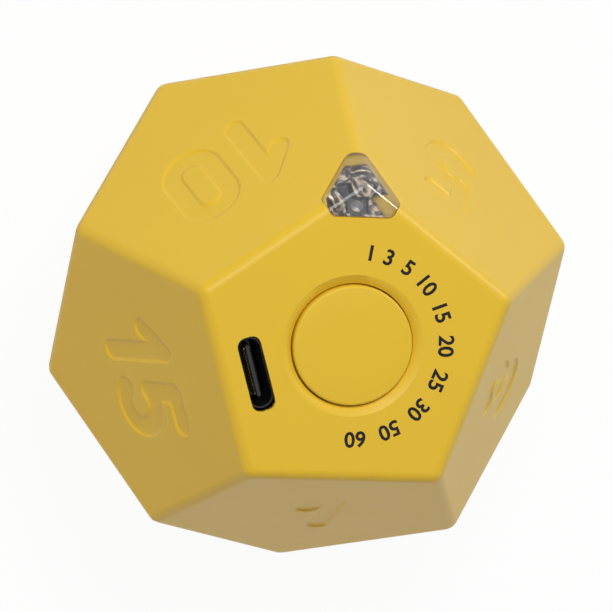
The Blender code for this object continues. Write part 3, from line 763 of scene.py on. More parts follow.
@dataclass(frozen=True)
class Palette:
    """Every finish of the timer."""

    body: Finish = MouldedPlastic("yellow_grained", srgb(224, 185, 44))
    button: Finish = MouldedPlastic("yellow_button", srgb(224, 185, 44), roughness=0.40)
    clear: Finish = ClearPlastic("clear_window", (0.93, 0.93, 0.95), (0.28, 0.28, 0.38))
    # Matt darker tan for the lens's side walls: painted shade, standing in for the yellow seat seen dimly
    # through the clear lens.
    painted_wall_shade: Finish = MouldedPlastic("window_wall_painted_shade", srgb(196, 160, 84), roughness=0.6)
    # Dark metal with painted glints in bright tan patches.
    reflector: Finish = GlintPaintedMetal("holder_metal_painted_glints", (0.038, 0.034, 0.036), (0.68, 0.57, 0.42))
    black_gloss: Finish = MouldedPlastic("package_black", (0.02, 0.02, 0.022), roughness=0.18)
    silver: Finish = Metal("well_silver", (0.46, 0.46, 0.48), roughness=0.26)
    white: Finish = MouldedPlastic("white_plastic", srgb(226, 225, 220), grain_depth=0.000003)
    black: Finish = MouldedPlastic("black_plastic", (0.012, 0.012, 0.013), roughness=0.4)
    board_green: Finish = SolderMask("board_green", (0.010, 0.070, 0.030), (0.022, 0.120, 0.050))
    board_black: Finish = SolderMask("board_black", (0.008, 0.008, 0.009), (0.020, 0.020, 0.022), 0.0005)
    steel: Finish = Metal("screw_steel", (0.60, 0.60, 0.58))
    dark_metal: Finish = Metal("socket_dark", (0.045, 0.045, 0.050), roughness=0.34)
    gold: Finish = Metal("contact_gilt", (0.78, 0.55, 0.22), roughness=0.25)
    foil: Finish = CellFoil("cell_foil", (0.55, 0.56, 0.58))
    foam: Finish = Foam("foam_grey", (0.09, 0.09, 0.10))
    red: Finish = MouldedPlastic("lead_red", srgb(176, 24, 22), roughness=0.4)
    lead_black: Finish = MouldedPlastic("lead_black", (0.014, 0.014, 0.015), roughness=0.42)
    ink: Finish = Speckled(
        "printed_black",
        (0.010, 0.010, 0.011),
        speckle=0.00012,
        detail=2.0,
        depth=0.000003,
        added=0.008,
        roughness=0.55,
        roughness_rise=0.1,
        specular=0.12,
    )
    phosphor: Finish = Speckled(
        "light_phosphor", srgb(222, 200, 96), speckle=0.0002, detail=3.0, depth=0.00002, share=1.2, added=0.02
    )


@cache
def paint(finish: Finish) -> bpy.types.Material:
    """The material of a finish, made at its first use."""
    return finish.material()


def linked(name: str, data: bpy.types.ID) -> bpy.types.Object:
    """Puts a mesh, a text, a lamp or a camera into the scene, at the origin.

    Args:
        name: the object's name.
        data: what the object shows.

    Returns:
        The new object.
    """
    data.name = name
    obj = bpy.data.objects.new(name, data)
    bpy.context.scene.collection.objects.link(obj)
    return obj


def evaluated(obj: bpy.types.Object) -> bpy.types.Mesh:
    """Turns an object into what it comes to with its modifiers.

    Args:
        obj: the object, which goes.

    Returns:
        The plain mesh.
    """
    bpy.context.view_layer.update()
    graph = bpy.context.evaluated_depsgraph_get()
    mesh = bpy.data.meshes.new_from_object(obj.evaluated_get(graph))
    bpy.data.objects.remove(obj)
    return mesh


def piece(
    name: str,
    mesh: bpy.types.Mesh,
    finish: Finish,
    body: Body,
    replaces: Sequence[str] = (),
) -> None:
    """Puts a finished mesh on its body.

    Args:
        name: the piece's name.
        mesh: its mesh, with its place in it.
        finish: what it is made of.
        body: what it moves with.
        replaces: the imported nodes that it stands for.
    """
    obj = linked(name, mesh)
    mesh.materials.clear()
    mesh.materials.append(paint(finish))
    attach(obj, body.value)
    if replaces:
        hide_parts(*replaces)
    log.info("%s: %d faces, on %s", name, len(mesh.polygons), body.value)


def second_finish(
    mesh: bpy.types.Mesh, finish: Finish, chosen: Callable[[bpy.types.MeshPolygon], bool]
) -> None:
    """Gives some faces of a finished mesh another finish.

    Args:
        mesh: the mesh.
        finish: what those faces are made of.
        chosen: tells which faces they are.
    """
    mesh.materials.append(paint(finish))
    for polygon in mesh.polygons:
        polygon.material_index = int(chosen(polygon))


def mesh_from(shape: bmesh.types.BMesh, name: str, sharp: float = 30.0) -> bpy.types.Mesh:
    """Makes a smooth mesh.

    Args:
        shape: the geometry, which is used up.
        name: the mesh's name.
        sharp: edges where faces meet at more than this many degrees stay sharp.

    Returns:
        The mesh.
    """
    mesh = bpy.data.meshes.new(name)
    shape.to_mesh(mesh)
    shape.free()
    mesh.shade_smooth()
    mesh.set_sharp_from_angle(angle=math.radians(sharp))
    return mesh


def lofted(count: int, levels: Iterable[tuple[float, float | Reach]]) -> bmesh.types.BMesh:
    """A closed solid through rings about Z.

    Args:
        count: how many points each ring has.
        levels: the height of each ring, with its radius or how far it reaches at an angle in degrees.

    Returns:
        The solid with a fan of faces at each end, its faces outwards.
    """
    shape = bmesh.new()
    made = []
    turns = [360 * i / count for i in range(count)]
    for height, reach in levels:
        radii = [reach(turn) if callable(reach) else reach for turn in turns]
        made.append([shape.verts.new(polar(radius, turn, height)) for radius, turn in zip(radii, turns)])
    for first, second in zip(made, made[1:]):
        for i in range(count):
            after = (i + 1) % count
            shape.faces.new((first[i], first[after], second[after], second[i]))
    for ring in (made[0], made[-1]):
        hub = shape.verts.new(sum((vert.co for vert in ring), Vector()) / count)
        for i, vert in enumerate(ring):
            shape.faces.new((hub, vert, ring[(i + 1) % count]))
    bmesh.ops.recalc_face_normals(shape, faces=shape.faces)
    return shape


def box_reach(length: float, width: float, corner: float) -> Reach:
    """How far a rectangle with round corners reaches from its middle.

    Args:
        length: its side along the first axis.
        width: its side along the second axis.
        corner: the radius of its corners.

    Returns:
        The reach at an angle in degrees.
    """

    def reach(degrees: float) -> float:
        """The distance to the rectangle's side or corner.

        Args:
            degrees: the angle from the first axis.

        Returns:
            The distance.
        """
        x, y = abs(math.cos(math.radians(degrees))), abs(math.sin(math.radians(degrees)))
        half_length, half_width = length / 2, width / 2
        sides = ((half_length, x), (half_width, y))
        straight = min(half / share if share > TINY else math.inf for half, share in sides)
        hub_x, hub_y = half_length - corner, half_width - corner
        if straight * x <= hub_x or straight * y <= hub_y:
            return straight
        along = hub_x * x + hub_y * y
        return along + math.sqrt(max(along**2 - hub_x**2 - hub_y**2 + corner**2, 0.0))

    return reach


def rounded(centre: tuple[float, float], radius: float, start: float, end: float, steps: int) -> Outline:
    """Points on an arc of a profile, from one angle to another."""
    turns = (math.radians(start + (end - start) * i / steps) for i in range(steps + 1))
    return [(centre[0] + radius * math.cos(turn), centre[1] + radius * math.sin(turn)) for turn in turns]


def chains(links: dict[Any, list[Any]]) -> list[list[Any]]:
    """The closed lines in a table of neighbours.

    Args:
        links: the neighbours of each point, used up here.

    Returns:
        The points of each line, in order.
    """
    found = []
    while links:
        here = next(iter(links))
        chain = []
        while here in links:
            chain.append(here)
            onward = [key for key in links.pop(here) if key in links]
            here = onward[0] if onward else here
        found.append(chain)
    return found


def neighbours(pairs: Iterable[tuple[Any, Any]]) -> dict[Any, list[Any]]:
    """A table of what each end of some links is linked to.

    Args:
        pairs: the two ends of each link.

    Returns:
        The neighbours of each end.
    """
    links: dict[Any, list[Any]] = {}
    for first, second in pairs:
        links.setdefault(first, []).append(second)
        links.setdefault(second, []).append(first)
    return links


def set_normals(mesh: bpy.types.Mesh, exact: Callable[[int], Vector | None]) -> None:
    """Gives a mesh the exact normals of its skin and leaves its other faces as they are shaded.

    Args:
        mesh: the mesh, already shaded.
        exact: gives a vertex's exact normal, or None off the skin.
    """
    known = [exact(i) for i in range(len(mesh.vertices))]
    normals = [Vector(corner.vector) for corner in mesh.corner_normals]
    for polygon in mesh.polygons:
        found = [known[i] for i in polygon.vertices]
        if any(normal is None or normal.dot(polygon.normal) < SAME_SIDE for normal in found):
            continue
        for corner, normal in zip(polygon.loop_indices, found):
            normals[corner] = normal
    mesh.normals_split_custom_set(normals)


@dataclass(frozen=True)
class NumberStyle:
    """The moulded numbers: round-ended strokes of one width, sunk with soft edges.

    Lengths are metres. Widths are those of a figure's middle line.
    """

    half_height: float = 5.125 * MM
    stroke: float = 2.66 * MM
    spacing: float = 4.75 * MM
    lift: float = 0.275 * MM
    depth: float = 0.24 * MM
    edge_outside: float = 0.16 * MM
    edge_inside: float = 0.36 * MM
    blend: float = 0.20 * MM
    zero_radius: float = 2.60 * MM
    flag: tuple[float, float] = (2.90 * MM, 3.20 * MM)
    five_bar: tuple[float, float] = (0.45 * MM, 4.45 * MM)
    five_bowl: tuple[float, float, float] = (2.00 * MM, -2.20 * MM, 2.90 * MM)
    three_upper: tuple[float, float, float] = (2.05 * MM, 2.76 * MM, 2.36 * MM)
    three_lower: tuple[float, float, float] = (1.95 * MM, -2.38 * MM, 2.74 * MM)
    two_bowl: tuple[float, float] = (2.55 * MM, 2.55 * MM)
    two_width: float = 5.20 * MM
    four_bar: tuple[float, float, float] = (0.0 * MM, 5.50 * MM, -1.90 * MM)
    four_stem: float = 3.95 * MM
    six_radius: float = 2.65 * MM
    step_angle: float = 6.0
    fewest_steps: int = 4
    grid_margin: float = 0.5 * MM
    grid_cell: float = 0.12 * MM

    def arc(self, x: float, y: float, radius: float, start: float, end: float) -> Outline:
        """An arc in steps of about the same angle."""
        steps = max(self.fewest_steps, round(abs(end - start) / self.step_angle))
        return rounded((x, y), radius, start, end, steps)

    def zero(self) -> list[Outline]:
        """A stadium.

        Returns:
            The outlines.
        """
        r, h = self.zero_radius, self.half_height
        path = self.arc(r, h - r, r, 0, 180) + self.arc(r, r - h, r, 180, 360)
        return [path + path[:1]]

    def one(self) -> list[Outline]:
        """A stem with a flag."""
        (x, drop), h = self.flag, self.half_height
        return [[(x, h), (x, -h)], [(x, h), (0.0, h - drop)]]

    def two(self) -> list[Outline]:
        """A hook, a slant and a foot.

        Returns:
            The outlines.
        """
        (x, r), h = self.two_bowl, self.half_height
        hook = self.arc(x, h - r, r, 170, -38)
        return [hook + [(0.0, -h)], [(0.0, -h), (self.two_width, -h)]]

    def three(self) -> list[Outline]:
        """Two bowls."""
        upper, lower = self.three_upper, self.three_lower
        return [self.arc(*upper, 155, -90), self.arc(*lower, 90, -152)]

    def four(self) -> list[Outline]:
        """A slant, a bar and a stem."""
        (left, right, level), x, h = self.four_bar, self.four_stem, self.half_height
        return [[(x, h), (left, level), (right, level)], [(x, h), (x, -h)]]

    def five(self) -> list[Outline]:
        """A bar, a leaning stem and a bowl.

        Returns:
            The outlines.
        """
        (left, right), (x, y, r), h = self.five_bar, self.five_bowl, self.half_height
        bowl = self.arc(x, y, r, 126, -136)
        return [[(left, h), (right, h)], [(left, h), bowl[0]], bowl]

    def six(self) -> list[Outline]:
        """A ring under a hook.

        Returns:
            The outlines.
        """
        r, h = self.six_radius, self.half_height
        ring = self.arc(r, r - h, r, 0, 360)
        hook = self.arc(r, h - r, r, 32, 180) + [(0.0, r - h)]
        return [ring, hook]

    def figure(self, digit: str) -> list[np.ndarray]:
        """The strokes of one figure, from its left middle line."""
        makers = (self.zero, self.one, self.two, self.three, self.four, self.five, self.six)
        return [np.array(stroke) for stroke in makers[int(digit)]()]

    def label(self, text: str) -> list[np.ndarray]:
        """The strokes of a number, centred on its face.

        Args:
            text: the number.

        Returns:
            Its strokes in the plane of the face.
        """
        strokes: list[np.ndarray] = []
        right = 0.0
        for place, digit in enumerate(text):
            figure = self.figure(digit)
            left = min(stroke[:, 0].min() for stroke in figure)
            shift = right - left + (self.spacing if place else 0.0)
            moved = [stroke + (shift, 0.0) for stroke in figure]
            right = max(stroke[:, 0].max() for stroke in moved)
            strokes += moved
        return [stroke + (-right / 2, self.lift) for stroke in strokes]


class SunkNumber:
    """A number's relief in the plane of a face, as a height over distance from its outline."""

    def __init__(self, style: NumberStyle, text: str) -> None:
        """Lays the number's strokes out."""
        self.style = style
        self.strokes = style.label(text)

    def distance(self, points: np.ndarray) -> np.ndarray:
        """How far points lie outside the number's outline.

        Args:
            points: places on the face, one a row.

        Returns:
            The distances, less than zero inside the outline.
        """
        result = None
        for line in self.strokes:
            start, along = line[:-1], np.diff(line, axis=0)
            reach = points[:, None, :] - start[None]
            share = np.clip((reach * along).sum(2) / np.maximum((along**2).sum(1), TINY**2), 0, 1)
            gap = np.linalg.norm(reach - share[..., None] * along, axis=2).min(1) - self.style.stroke / 2
            if result is None:
                result = gap
            else:
                k = self.style.blend
                mix = np.clip(0.5 + 0.5 * (result - gap) / k, 0, 1)
                result = result * (1 - mix) + gap * mix - k * mix * (1 - mix)
        return result

    def gradient(self, points: np.ndarray, step: float = 0.01 * MM) -> np.ndarray:
        """The direction in which the distance grows, at each point.

        Args:
            points: places on the face, one a row.
            step: how far apart the distance is compared.

        Returns:
            The directions, one a row.
        """
        sides = []
        for axis in ((step, 0.0), (0.0, step)):
            ahead, behind = self.distance(points + axis), self.distance(points - axis)
            sides.append((ahead - behind) / (2 * step))
        return np.stack(sides, axis=1)

    def relief(self, points: np.ndarray) -> tuple[np.ndarray, np.ndarray]:
        """The surface at points of the plane.

        Args:
            points: places in the plane.

        Returns:
            The heights there, zero or less, and the slopes along both axes.
        """
        style = self.style
        width = style.edge_outside + style.edge_inside
        share = np.clip((style.edge_outside - self.distance(points)) / width, 0, 1)
        heights = -style.depth * share**2 * (3 - 2 * share)
        steepness = style.depth * 6 * share * (1 - share) / width
        return heights, self.gradient(points) * steepness[:, None]

    def contours(self, spacing: float, rows: int) -> list[np.ndarray]:
        """Closed lines round the number, one over the other down its soft edge.

        Args:
            spacing: the distance between points of a line.
            rows: how many lines there are from the rim to the floor.

        Returns:
            The lines.
        """
        style = self.style
        everything = np.concatenate(self.strokes)
        margin = style.stroke / 2 + style.edge_outside + style.grid_margin
        low, high = everything.min(0) - margin, everything.max(0) + margin
        xs, ys = (np.arange(low[i], high[i] + style.grid_cell, style.grid_cell) for i in range(2))
        grid = np.stack(np.meshgrid(xs, ys), axis=2)
        values = self.distance(grid.reshape(-1, 2)).reshape(grid.shape[:2])
        lines = []
        for level in np.linspace(style.edge_outside, -style.edge_inside, rows):
            for loop in level_lines(values, xs, ys, float(level)):
                even = spaced(loop, spacing)
                for _ in range(2):
                    slope = self.gradient(even)
                    miss = (self.distance(even) - level) / np.maximum((slope**2).sum(1), LEAST_SLOPE)
                    even = even - slope * miss[:, None]
                lines.append(even)
        return lines


def level_lines(values: np.ndarray, xs: np.ndarray, ys: np.ndarray, level: float) -> list[np.ndarray]:
    """The closed lines on a grid where a field has one value.

    Args:
        values: the field, a row for each y.
        xs: the grid's places along X.
        ys: the grid's places along Y.
        level: the value on the lines.

    Returns:
        The lines as points.
    """
    inside = values < level

    def crossing(key: tuple[int, int, int]) -> tuple[float, float]:
        """The place on a grid edge where the line crosses it.

        Args:
            key: the edge's row and column, and 1 if it is upright.

        Returns:
            The place's two coordinates.
        """
        j, i, upright = key
        other = values[j + upright, i + 1 - upright]
        share = (level - values[j, i]) / (other - values[j, i])
        x = xs[i] + share * (xs[1] - xs[0]) * (1 - upright)
        y = ys[j] + share * (ys[1] - ys[0]) * upright
        return x, y

    pairs = []
    corners = inside[:-1, :-1].astype(int) + inside[:-1, 1:] + inside[1:, :-1] + inside[1:, 1:]
    for j, i in np.argwhere((corners > 0) & (corners < 4)):
        edges = [(j, i, 0), (j, i + 1, 1), (j + 1, i, 0), (j, i, 1)]
        ends = [(j, i + 1), (j + 1, i + 1), (j + 1, i + 1), (j + 1, i)]
        crossed = [
            tuple(int(n) for n in edge) for edge, end in zip(edges, ends) if inside[edge[:2]] != inside[end]
        ]
        pairs += zip(crossed[::2], crossed[1::2])
    found = chains(neighbours(pairs))
    return [np.array([crossing(key) for key in chain]) for chain in found if len(chain) > SHORTEST_LINE]


def spaced(loop: np.ndarray, spacing: float) -> np.ndarray:
    """A closed line with its points at even distances.

    Args:
        loop: the line's points, one a row.
        spacing: about how far apart the new points lie.

    Returns:
        The new points.
    """
    closed = np.vstack([loop, loop[:1]])
    run = np.concatenate([[0.0], np.cumsum(np.linalg.norm(np.diff(closed, axis=0), axis=1))])
    count = max(FEWEST_POINTS, round(run[-1] / spacing))
    stations = np.linspace(0, run[-1], count, endpoint=False)
    return np.stack([np.interp(stations, run, closed[:, i]) for i in range(2)], axis=1)


def contains(loops: Iterable[np.ndarray], points: np.ndarray) -> np.ndarray:
    """Whether points lie inside an odd number of closed lines.

    Args:
        loops: the points of each line.
        points: the places to test, one a row.

    Returns:
        True for each place inside.
    """
    inside = np.zeros(len(points), bool)
    for loop in loops:
        following = np.roll(loop, -1, axis=0)
        for (x0, y0), (x1, y1) in zip(loop, following):
            spans = (y0 > points[:, 1]) != (y1 > points[:, 1])
            if spans.any():
                reach = x0 + (points[:, 1] - y0) / (y1 - y0) * (x1 - x0)
                inside ^= spans & (points[:, 0] < reach)
    return inside


class MouldedShell:
    """A copy of a packed shell that numbers are sunk into."""

    parallel = 0.9999
    turn_slack = 0.01
    flat_slack = 0.01 * MM
    parting_slack = 0.005 * MM
    ring_slack = 0.02 * MM
    skin_slack = 0.03 * MM
    sharp_angle = 35.0

    def __init__(self, node: bpy.types.Object, rounding: float) -> None:
        """Merges the copy and keeps the radius of its outer edges.

        Args:
            node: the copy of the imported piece.
            rounding: the radius of its outer edges.
        """
        self.rounding = rounding
        self.shape = bmesh.new()
        self.shape.from_mesh(node.data)
        bmesh.ops.remove_doubles(self.shape, verts=self.shape.verts, dist=WELD)
        self.exact: dict[tuple[float, ...], Vector] = {}

    @staticmethod
    def key(point: Vector) -> tuple[float, ...]:
        """What a point is remembered by."""
        return tuple(round(value / MM, 3) for value in point)

    def narrow_parting(self, shift: float, travel: float) -> None:
        """Moves the edge of the wall towards the other shell.

        Args:
            shift: how far above the body's middle planes the edge lies, less than zero for below.
            travel: how far the edge moves up.
        """
        planes = BODY.waist_planes(shift)
        for vert in self.shape.verts:
            azimuth = math.degrees(math.atan2(vert.co.y, vert.co.x))
            for middle, start, normal in planes:
                turn = (azimuth - middle + 180) % 360 - 180
                height = (vert.co - start).dot(normal)
                if abs(turn) < STEP_ANGLE / 4 + self.turn_slack and abs(height) < self.parting_slack:
                    vert.co.z += travel
                    break

    def move_ring(self, radius: float, moved: float, lowest: float, drop: float) -> None:
        """Moves the rings of one radius about the button's axis to another radius.

        Args:
            radius: the radius they have.
            moved: the radius they get.
            lowest: the height above which they are moved.
            drop: how far they are moved down.
        """
        for vert in self.shape.verts:
            if vert.co.z > lowest and abs(vert.co.xy.length - radius) < self.ring_slack:
                vert.co.xy *= moved / radius
                vert.co.z -= drop

    def open_face(self, frame: FaceFrame) -> list[list[bmesh.types.BMVert]]:
        """Takes a flat face out.

        Args:
            frame: the face.

        Returns:
            The closed lines of vertices round the opening.
        """
        flat = [
            face
            for face in self.shape.faces
            if face.normal.dot(frame.out) > self.parallel
            and all(abs((vert.co - frame.origin).dot(frame.out)) < self.flat_slack for vert in face.verts)
        ]
        inner = {edge for face in flat for edge in face.edges}
        rim = [edge for edge in inner if sum(face in flat for face in edge.link_faces) == 1]
        bmesh.ops.delete(self.shape, geom=flat, context="FACES_ONLY")
        wire = [edge for edge in inner if edge.is_valid and edge not in rim]
        bmesh.ops.delete(self.shape, geom=wire, context="EDGES")
        return chains(neighbours(edge.verts for edge in rim))

    def sink(self, frame: FaceFrame, number: SunkNumber, spacing: float, rows: int) -> None:
        """Fills a face again with a number sunk into it.

        Args:
            frame: the face.
            number: the number's relief.
            spacing: the distance between points along its outline.
            rows: how many lines follow its soft edge down.
        """
        loops = self.open_face(frame)
        rims = [np.array([frame.flat(vert.co) for vert in loop]) for loop in loops]
        lines = number.contours(spacing, rows)
        points = np.concatenate(rims + lines)
        edges = []
        start = 0
        for line in rims + lines:
            count = len(line)
            edges += [(start + i, start + (i + 1) % count) for i in range(count)]
            start += count
        flat_points = [Vector(point / MM) for point in points]
        places, _, faces, origins, _, _ = delaunay_2d_cdt(flat_points, edges, [], 0, NET_SLACK)
        heights, slopes = number.relief(points)
        rim_verts = [vert for loop in loops for vert in loop]
        verts = []
        for place, source in zip(places, origins):
            index = source[0] if source else None
            if index is not None and index < len(rim_verts):
                verts.append(rim_verts[index])
                continue
            at = points[index] if index is not None else np.array(place) * MM
            height, slope = (heights[index], slopes[index]) if index is not None else (0.0, (0.0, 0.0))
            vert = self.shape.verts.new(frame.point(at[0], at[1], height))
            self.exact[self.key(vert.co)] = frame.direction(-slope[0], -slope[1], 1.0)
            verts.append(vert)
        middles = [sum((places[i] for i in face), Vector((0, 0))) / len(face) for face in faces]
        for face, inside in zip(faces, contains(rims, np.array(middles) * MM)):
            if inside:
                self.shape.faces.new([verts[i] for i in face])

    def mesh(self, name: str) -> bpy.types.Mesh:
        """The finished mesh with the exact normals of its skin.

        Args:
            name: the mesh's name.

        Returns:
            The mesh.
        """
        for face in self.shape.faces:
            face.normal_update()
        mesh = mesh_from(self.shape, name, self.sharp_angle)
        points = [vert.co.copy() for vert in mesh.vertices]

        def exact(index: int) -> Vector | None:
            """A vertex's normal from its number or from the rounded body."""
            known = self.exact.get(self.key(points[index]))
            return known or BODY.skin_normal(points[index], self.rounding, self.skin_slack)

        set_normals(mesh, exact)
        return mesh


@dataclass
class Housing:
    """The two yellow shells with their sunk numbers.

    A ring of the bore changes from one radius to another and sinks: its radius, the new one, the height above
    which it lies and how far it sinks.
    """

    nodes: Mapping[str, bpy.types.Object]
    palette: Palette
    edge_rounding: float = 1.7 * MM
    parting_shift: float = 0.15 * MM
    parting_travel: float = 0.10 * MM
    bore_rings: tuple[tuple[float, float, float, float], ...] = (
        (8.35 * MM, 8.55 * MM, 51.0 * MM, 0.0),
        (7.60 * MM, 7.42 * MM, 51.0 * MM, 0.15 * MM),
        (7.60 * MM, 7.42 * MM, 48.0 * MM, 0.0),
    )
    spacing: float = 0.22 * MM
    rows: int = 8
    style: NumberStyle = NumberStyle()
    upper_numbers: tuple[str, ...] = ("10", "15", "1", "3", "5")
    lower_numbers: tuple[str, ...] = ("20", "25", "30", "45", "50")
    bottom_number: str = "60"

    def shell(self, ring: FaceRing) -> None:
        """Makes one shell.

        Args:
            ring: the upper or the lower ring of faces.
        """
        upper = ring is FaceRing.UPPER
        name = "upper_shell" if upper else "lower_shell"
        side = 1 if upper else -1
        shell = MouldedShell(self.nodes[name], self.edge_rounding)
        shell.narrow_parting(side * self.parting_shift, -side * self.parting_travel)
        if upper:
            for ring_change in self.bore_rings:
                shell.move_ring(*ring_change)
        numbers = self.upper_numbers if upper else self.lower_numbers
        first = SIDE_AZIMUTH if upper else WINDOW_AZIMUTH
        for i, text in enumerate(numbers):
            frame = BODY.face(ring, first + STEP_ANGLE * i)
            shell.sink(frame, SunkNumber(self.style, text), self.spacing, self.rows)
        if not upper:
            frame = BODY.face(FaceRing.BOTTOM)
            shell.sink(frame, SunkNumber(self.style, self.bottom_number), self.spacing, self.rows)
        made = f"{name}_moulded"
        piece(made, shell.mesh(made), self.palette.body, Body.HOUSING, [name])

    def build(self) -> None:
        """Makes both shells."""
        self.shell(FaceRing.UPPER)
        self.shell(FaceRing.LOWER)


@dataclass
class PushButton:
    """The round button flush with its face."""

    palette: Palette
    diameter: float = 14.5 * MM
    thickness: float = 1.6 * MM
    edge: float = 0.35 * MM
    edge_steps: int = 6
    skirt: float = 1.2 * MM
    flange_width: float = 1.25 * MM
    flange_top: float = 48.35 * MM
    post: float = 1.5 * MM
    post_bottom: float = 47.9 * MM
    segments: int = 160

    def build(self) -> None:
        """Turns the cap."""
        bottom, top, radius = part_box("button_cap")[0].z, BODY.face_to_face, self.diameter / 2
        flange_edge = self.edge / 3
        rim = radius + self.flange_width
        profile = [
            (self.post, self.post_bottom),
            (self.post, top - self.thickness),
            (radius - self.skirt, top - self.thickness),
            (radius - self.skirt, bottom),
            (rim - flange_edge, bottom),
            (rim, bottom + flange_edge),
            (rim, self.flange_top - flange_edge),
            (rim - flange_edge, self.flange_top),
            (radius, self.flange_top),
            *rounded((radius - self.edge, top - self.edge), self.edge, 0, 90, self.edge_steps),
            (radius / 2, top),
        ]
        levels = ((height, reach) for reach, height in profile)
        mesh = mesh_from(lofted(self.segments, levels), "push_button")
        piece("push_button", mesh, self.palette.button, Body.BUTTON, ["button_cap"])


class GeometryMaker(NodeMaker):
    """A Geometry Nodes tree with named inputs."""

    def __init__(self, name: str, sizes: Mapping[str, float | int]) -> None:
        """Starts a tree.

        Args:
            name: the tree's name.
            sizes: its inputs, whole numbers among them, with their values.
        """
        super().__init__(bpy.data.node_groups.new(name, "GeometryNodeTree"))
        outside = self.tree.interface
        outside.new_socket("Geometry", in_out="INPUT", socket_type="NodeSocketGeometry")
        outside.new_socket("Geometry", in_out="OUTPUT", socket_type="NodeSocketGeometry")
        self.sizes: dict[str, float | int] = {}
        for label, value in sizes.items():
            kind = "NodeSocketInt" if isinstance(value, int) else "NodeSocketFloat"
            socket = outside.new_socket(label, in_out="INPUT", socket_type=kind)
            self.sizes[socket.identifier] = value
        self.source = self.tree.nodes.new("NodeGroupInput")

    def given(self, label: str) -> Signal:
        """A named input, or the geometry that the tree starts from."""
        return Signal(self, self.source.outputs[label])

    def block(self, x: Signal | float, y: Signal | float, z: Signal | float) -> Signal:
        """A block with three sides, its middle at the origin."""
        sides = self.node("ShaderNodeCombineXYZ", sockets={"X": x, "Y": y, "Z": z})
        return self.node("GeometryNodeMeshCube", sockets={"Size": sides})

    def copies(self, points: Signal, model: Signal) -> Signal:
        """A model at each point."""
        return self.node("GeometryNodeInstanceOnPoints", sockets={0: points, "Instance": model})

    def row(self, model: Signal) -> Signal:
        """A model repeated along X, by the inputs Count and Gap.

        Args:
            model: what is repeated.

        Returns:
            The copies.
        """
        step = self.node("ShaderNodeCombineXYZ", sockets={"X": self.given("Gap")})
        line = self.node("GeometryNodeMeshLine", sockets={"Count": self.given("Count"), "Offset": step})
        return self.copies(line, model)

    def moved(self, model: Signal, **change: tuple[float, float, float]) -> Signal:
        """A geometry with its Translation or its Rotation changed."""
        return self.node("GeometryNodeTransform", sockets={0: model, **change})

    def joined(self, parts: Iterable[Signal]) -> Signal:
        """Several geometries as one.

        Args:
            parts: the geometries.

        Returns:
            The one geometry.
        """
        join = self.tree.nodes.new("GeometryNodeJoinGeometry")
        for part in parts:
            self.tree.links.new(part.socket, join.inputs[0])
        return Signal(self, join.outputs[0])

    def made(self, geometry: Signal, base: bpy.types.Mesh, finish: Finish) -> bpy.types.Mesh:
        """Ends the tree and turns its result into a plain mesh.

        Args:
            geometry: what the tree makes.
            base: the mesh that the tree starts from.
            finish: what the result is made of.

        Returns:
            The plain mesh.
        """
        real = self.node("GeometryNodeRealizeInstances", sockets={0: geometry})
        painted = self.node("GeometryNodeSetMaterial", sockets={0: real, "Material": paint(finish)})
        self.node("NodeGroupOutput", sockets={0: painted})
        carrier = linked(f"{self.tree.name}_carrier", base)
        modifier = carrier.modifiers.new(self.tree.name, "NODES")
        modifier.node_group = self.tree
        for key, value in self.sizes.items():
            modifier[key] = value
        return evaluated(carrier)


@dataclass
class PrintedRing:
    """Black numbers in an arc round the button, their tops outwards."""

    palette: Palette
    numbers: tuple[str, ...] = ("1", "3", "5", "10", "15", "20", "25", "30", "50", "60")
    inner_radius: float = 10.35 * MM
    height: float = 1.95 * MM
    start_azimuth: float = 84.0
    end_azimuth: float = -92.0
    thickness: float = 0.012 * MM
    weight_share: float = 0.024
    figure_share: float = 0.70
    letter_spacing: float = 1.02
    curve_steps: int = 6

    def number(self, text: str) -> bpy.types.Mesh:
        """One bold number as a thin mesh.

        Args:
            text: the number.

        Returns:
            The mesh, its foot on the X axis and its middle at the origin.
        """
        size = self.height / (self.figure_share + 2 * self.weight_share)
        curve = bpy.data.curves.new(text, "FONT")
        curve.body = text
        curve.size = size
        curve.offset = self.weight_share * size
        curve.space_character = self.letter_spacing
        curve.extrude = self.thickness / 2
        curve.align_x = "CENTER"
        curve.resolution_u = self.curve_steps
        mesh = evaluated(linked(text, curve))
        lowest = min(vert.co.y for vert in mesh.vertices)
        mesh.transform(Matrix.Translation((0, -lowest, 0)))
        return mesh

    def build(self) -> None:
        """Sets the numbers out evenly and prints them."""
        meshes = [self.number(text) for text in self.numbers]
        spans = [(min(v.co.x for v in m.vertices), max(v.co.x for v in m.vertices)) for m in meshes]
        widths = [right - left for left, right in spans]
        length = math.radians(self.start_azimuth - self.end_azimuth) * self.inner_radius
        gap = (length - sum(widths)) / (len(widths) - 1)
        shape = bmesh.new()
        run = 0.0
        level = BODY.face_to_face + self.thickness / 2
        for mesh, (left, right) in zip(meshes, spans):
            azimuth = self.start_azimuth - math.degrees((run + (right - left) / 2) / self.inner_radius)
            run += right - left + gap
            turn = Matrix.Rotation(math.radians(azimuth - 90), 4, "Z")
            mesh.transform(turn @ Matrix.Translation((-(left + right) / 2, self.inner_radius, level)))
            shape.from_mesh(mesh)
            bpy.data.meshes.remove(mesh)
        bmesh.ops.remove_doubles(shape, verts=shape.verts, dist=self.thickness / 20)
        bmesh.ops.recalc_face_normals(shape, faces=shape.faces)
        mesh = mesh_from(shape, "printed_numbers")
        piece("printed_numbers", mesh, self.palette.ink, Body.HOUSING)


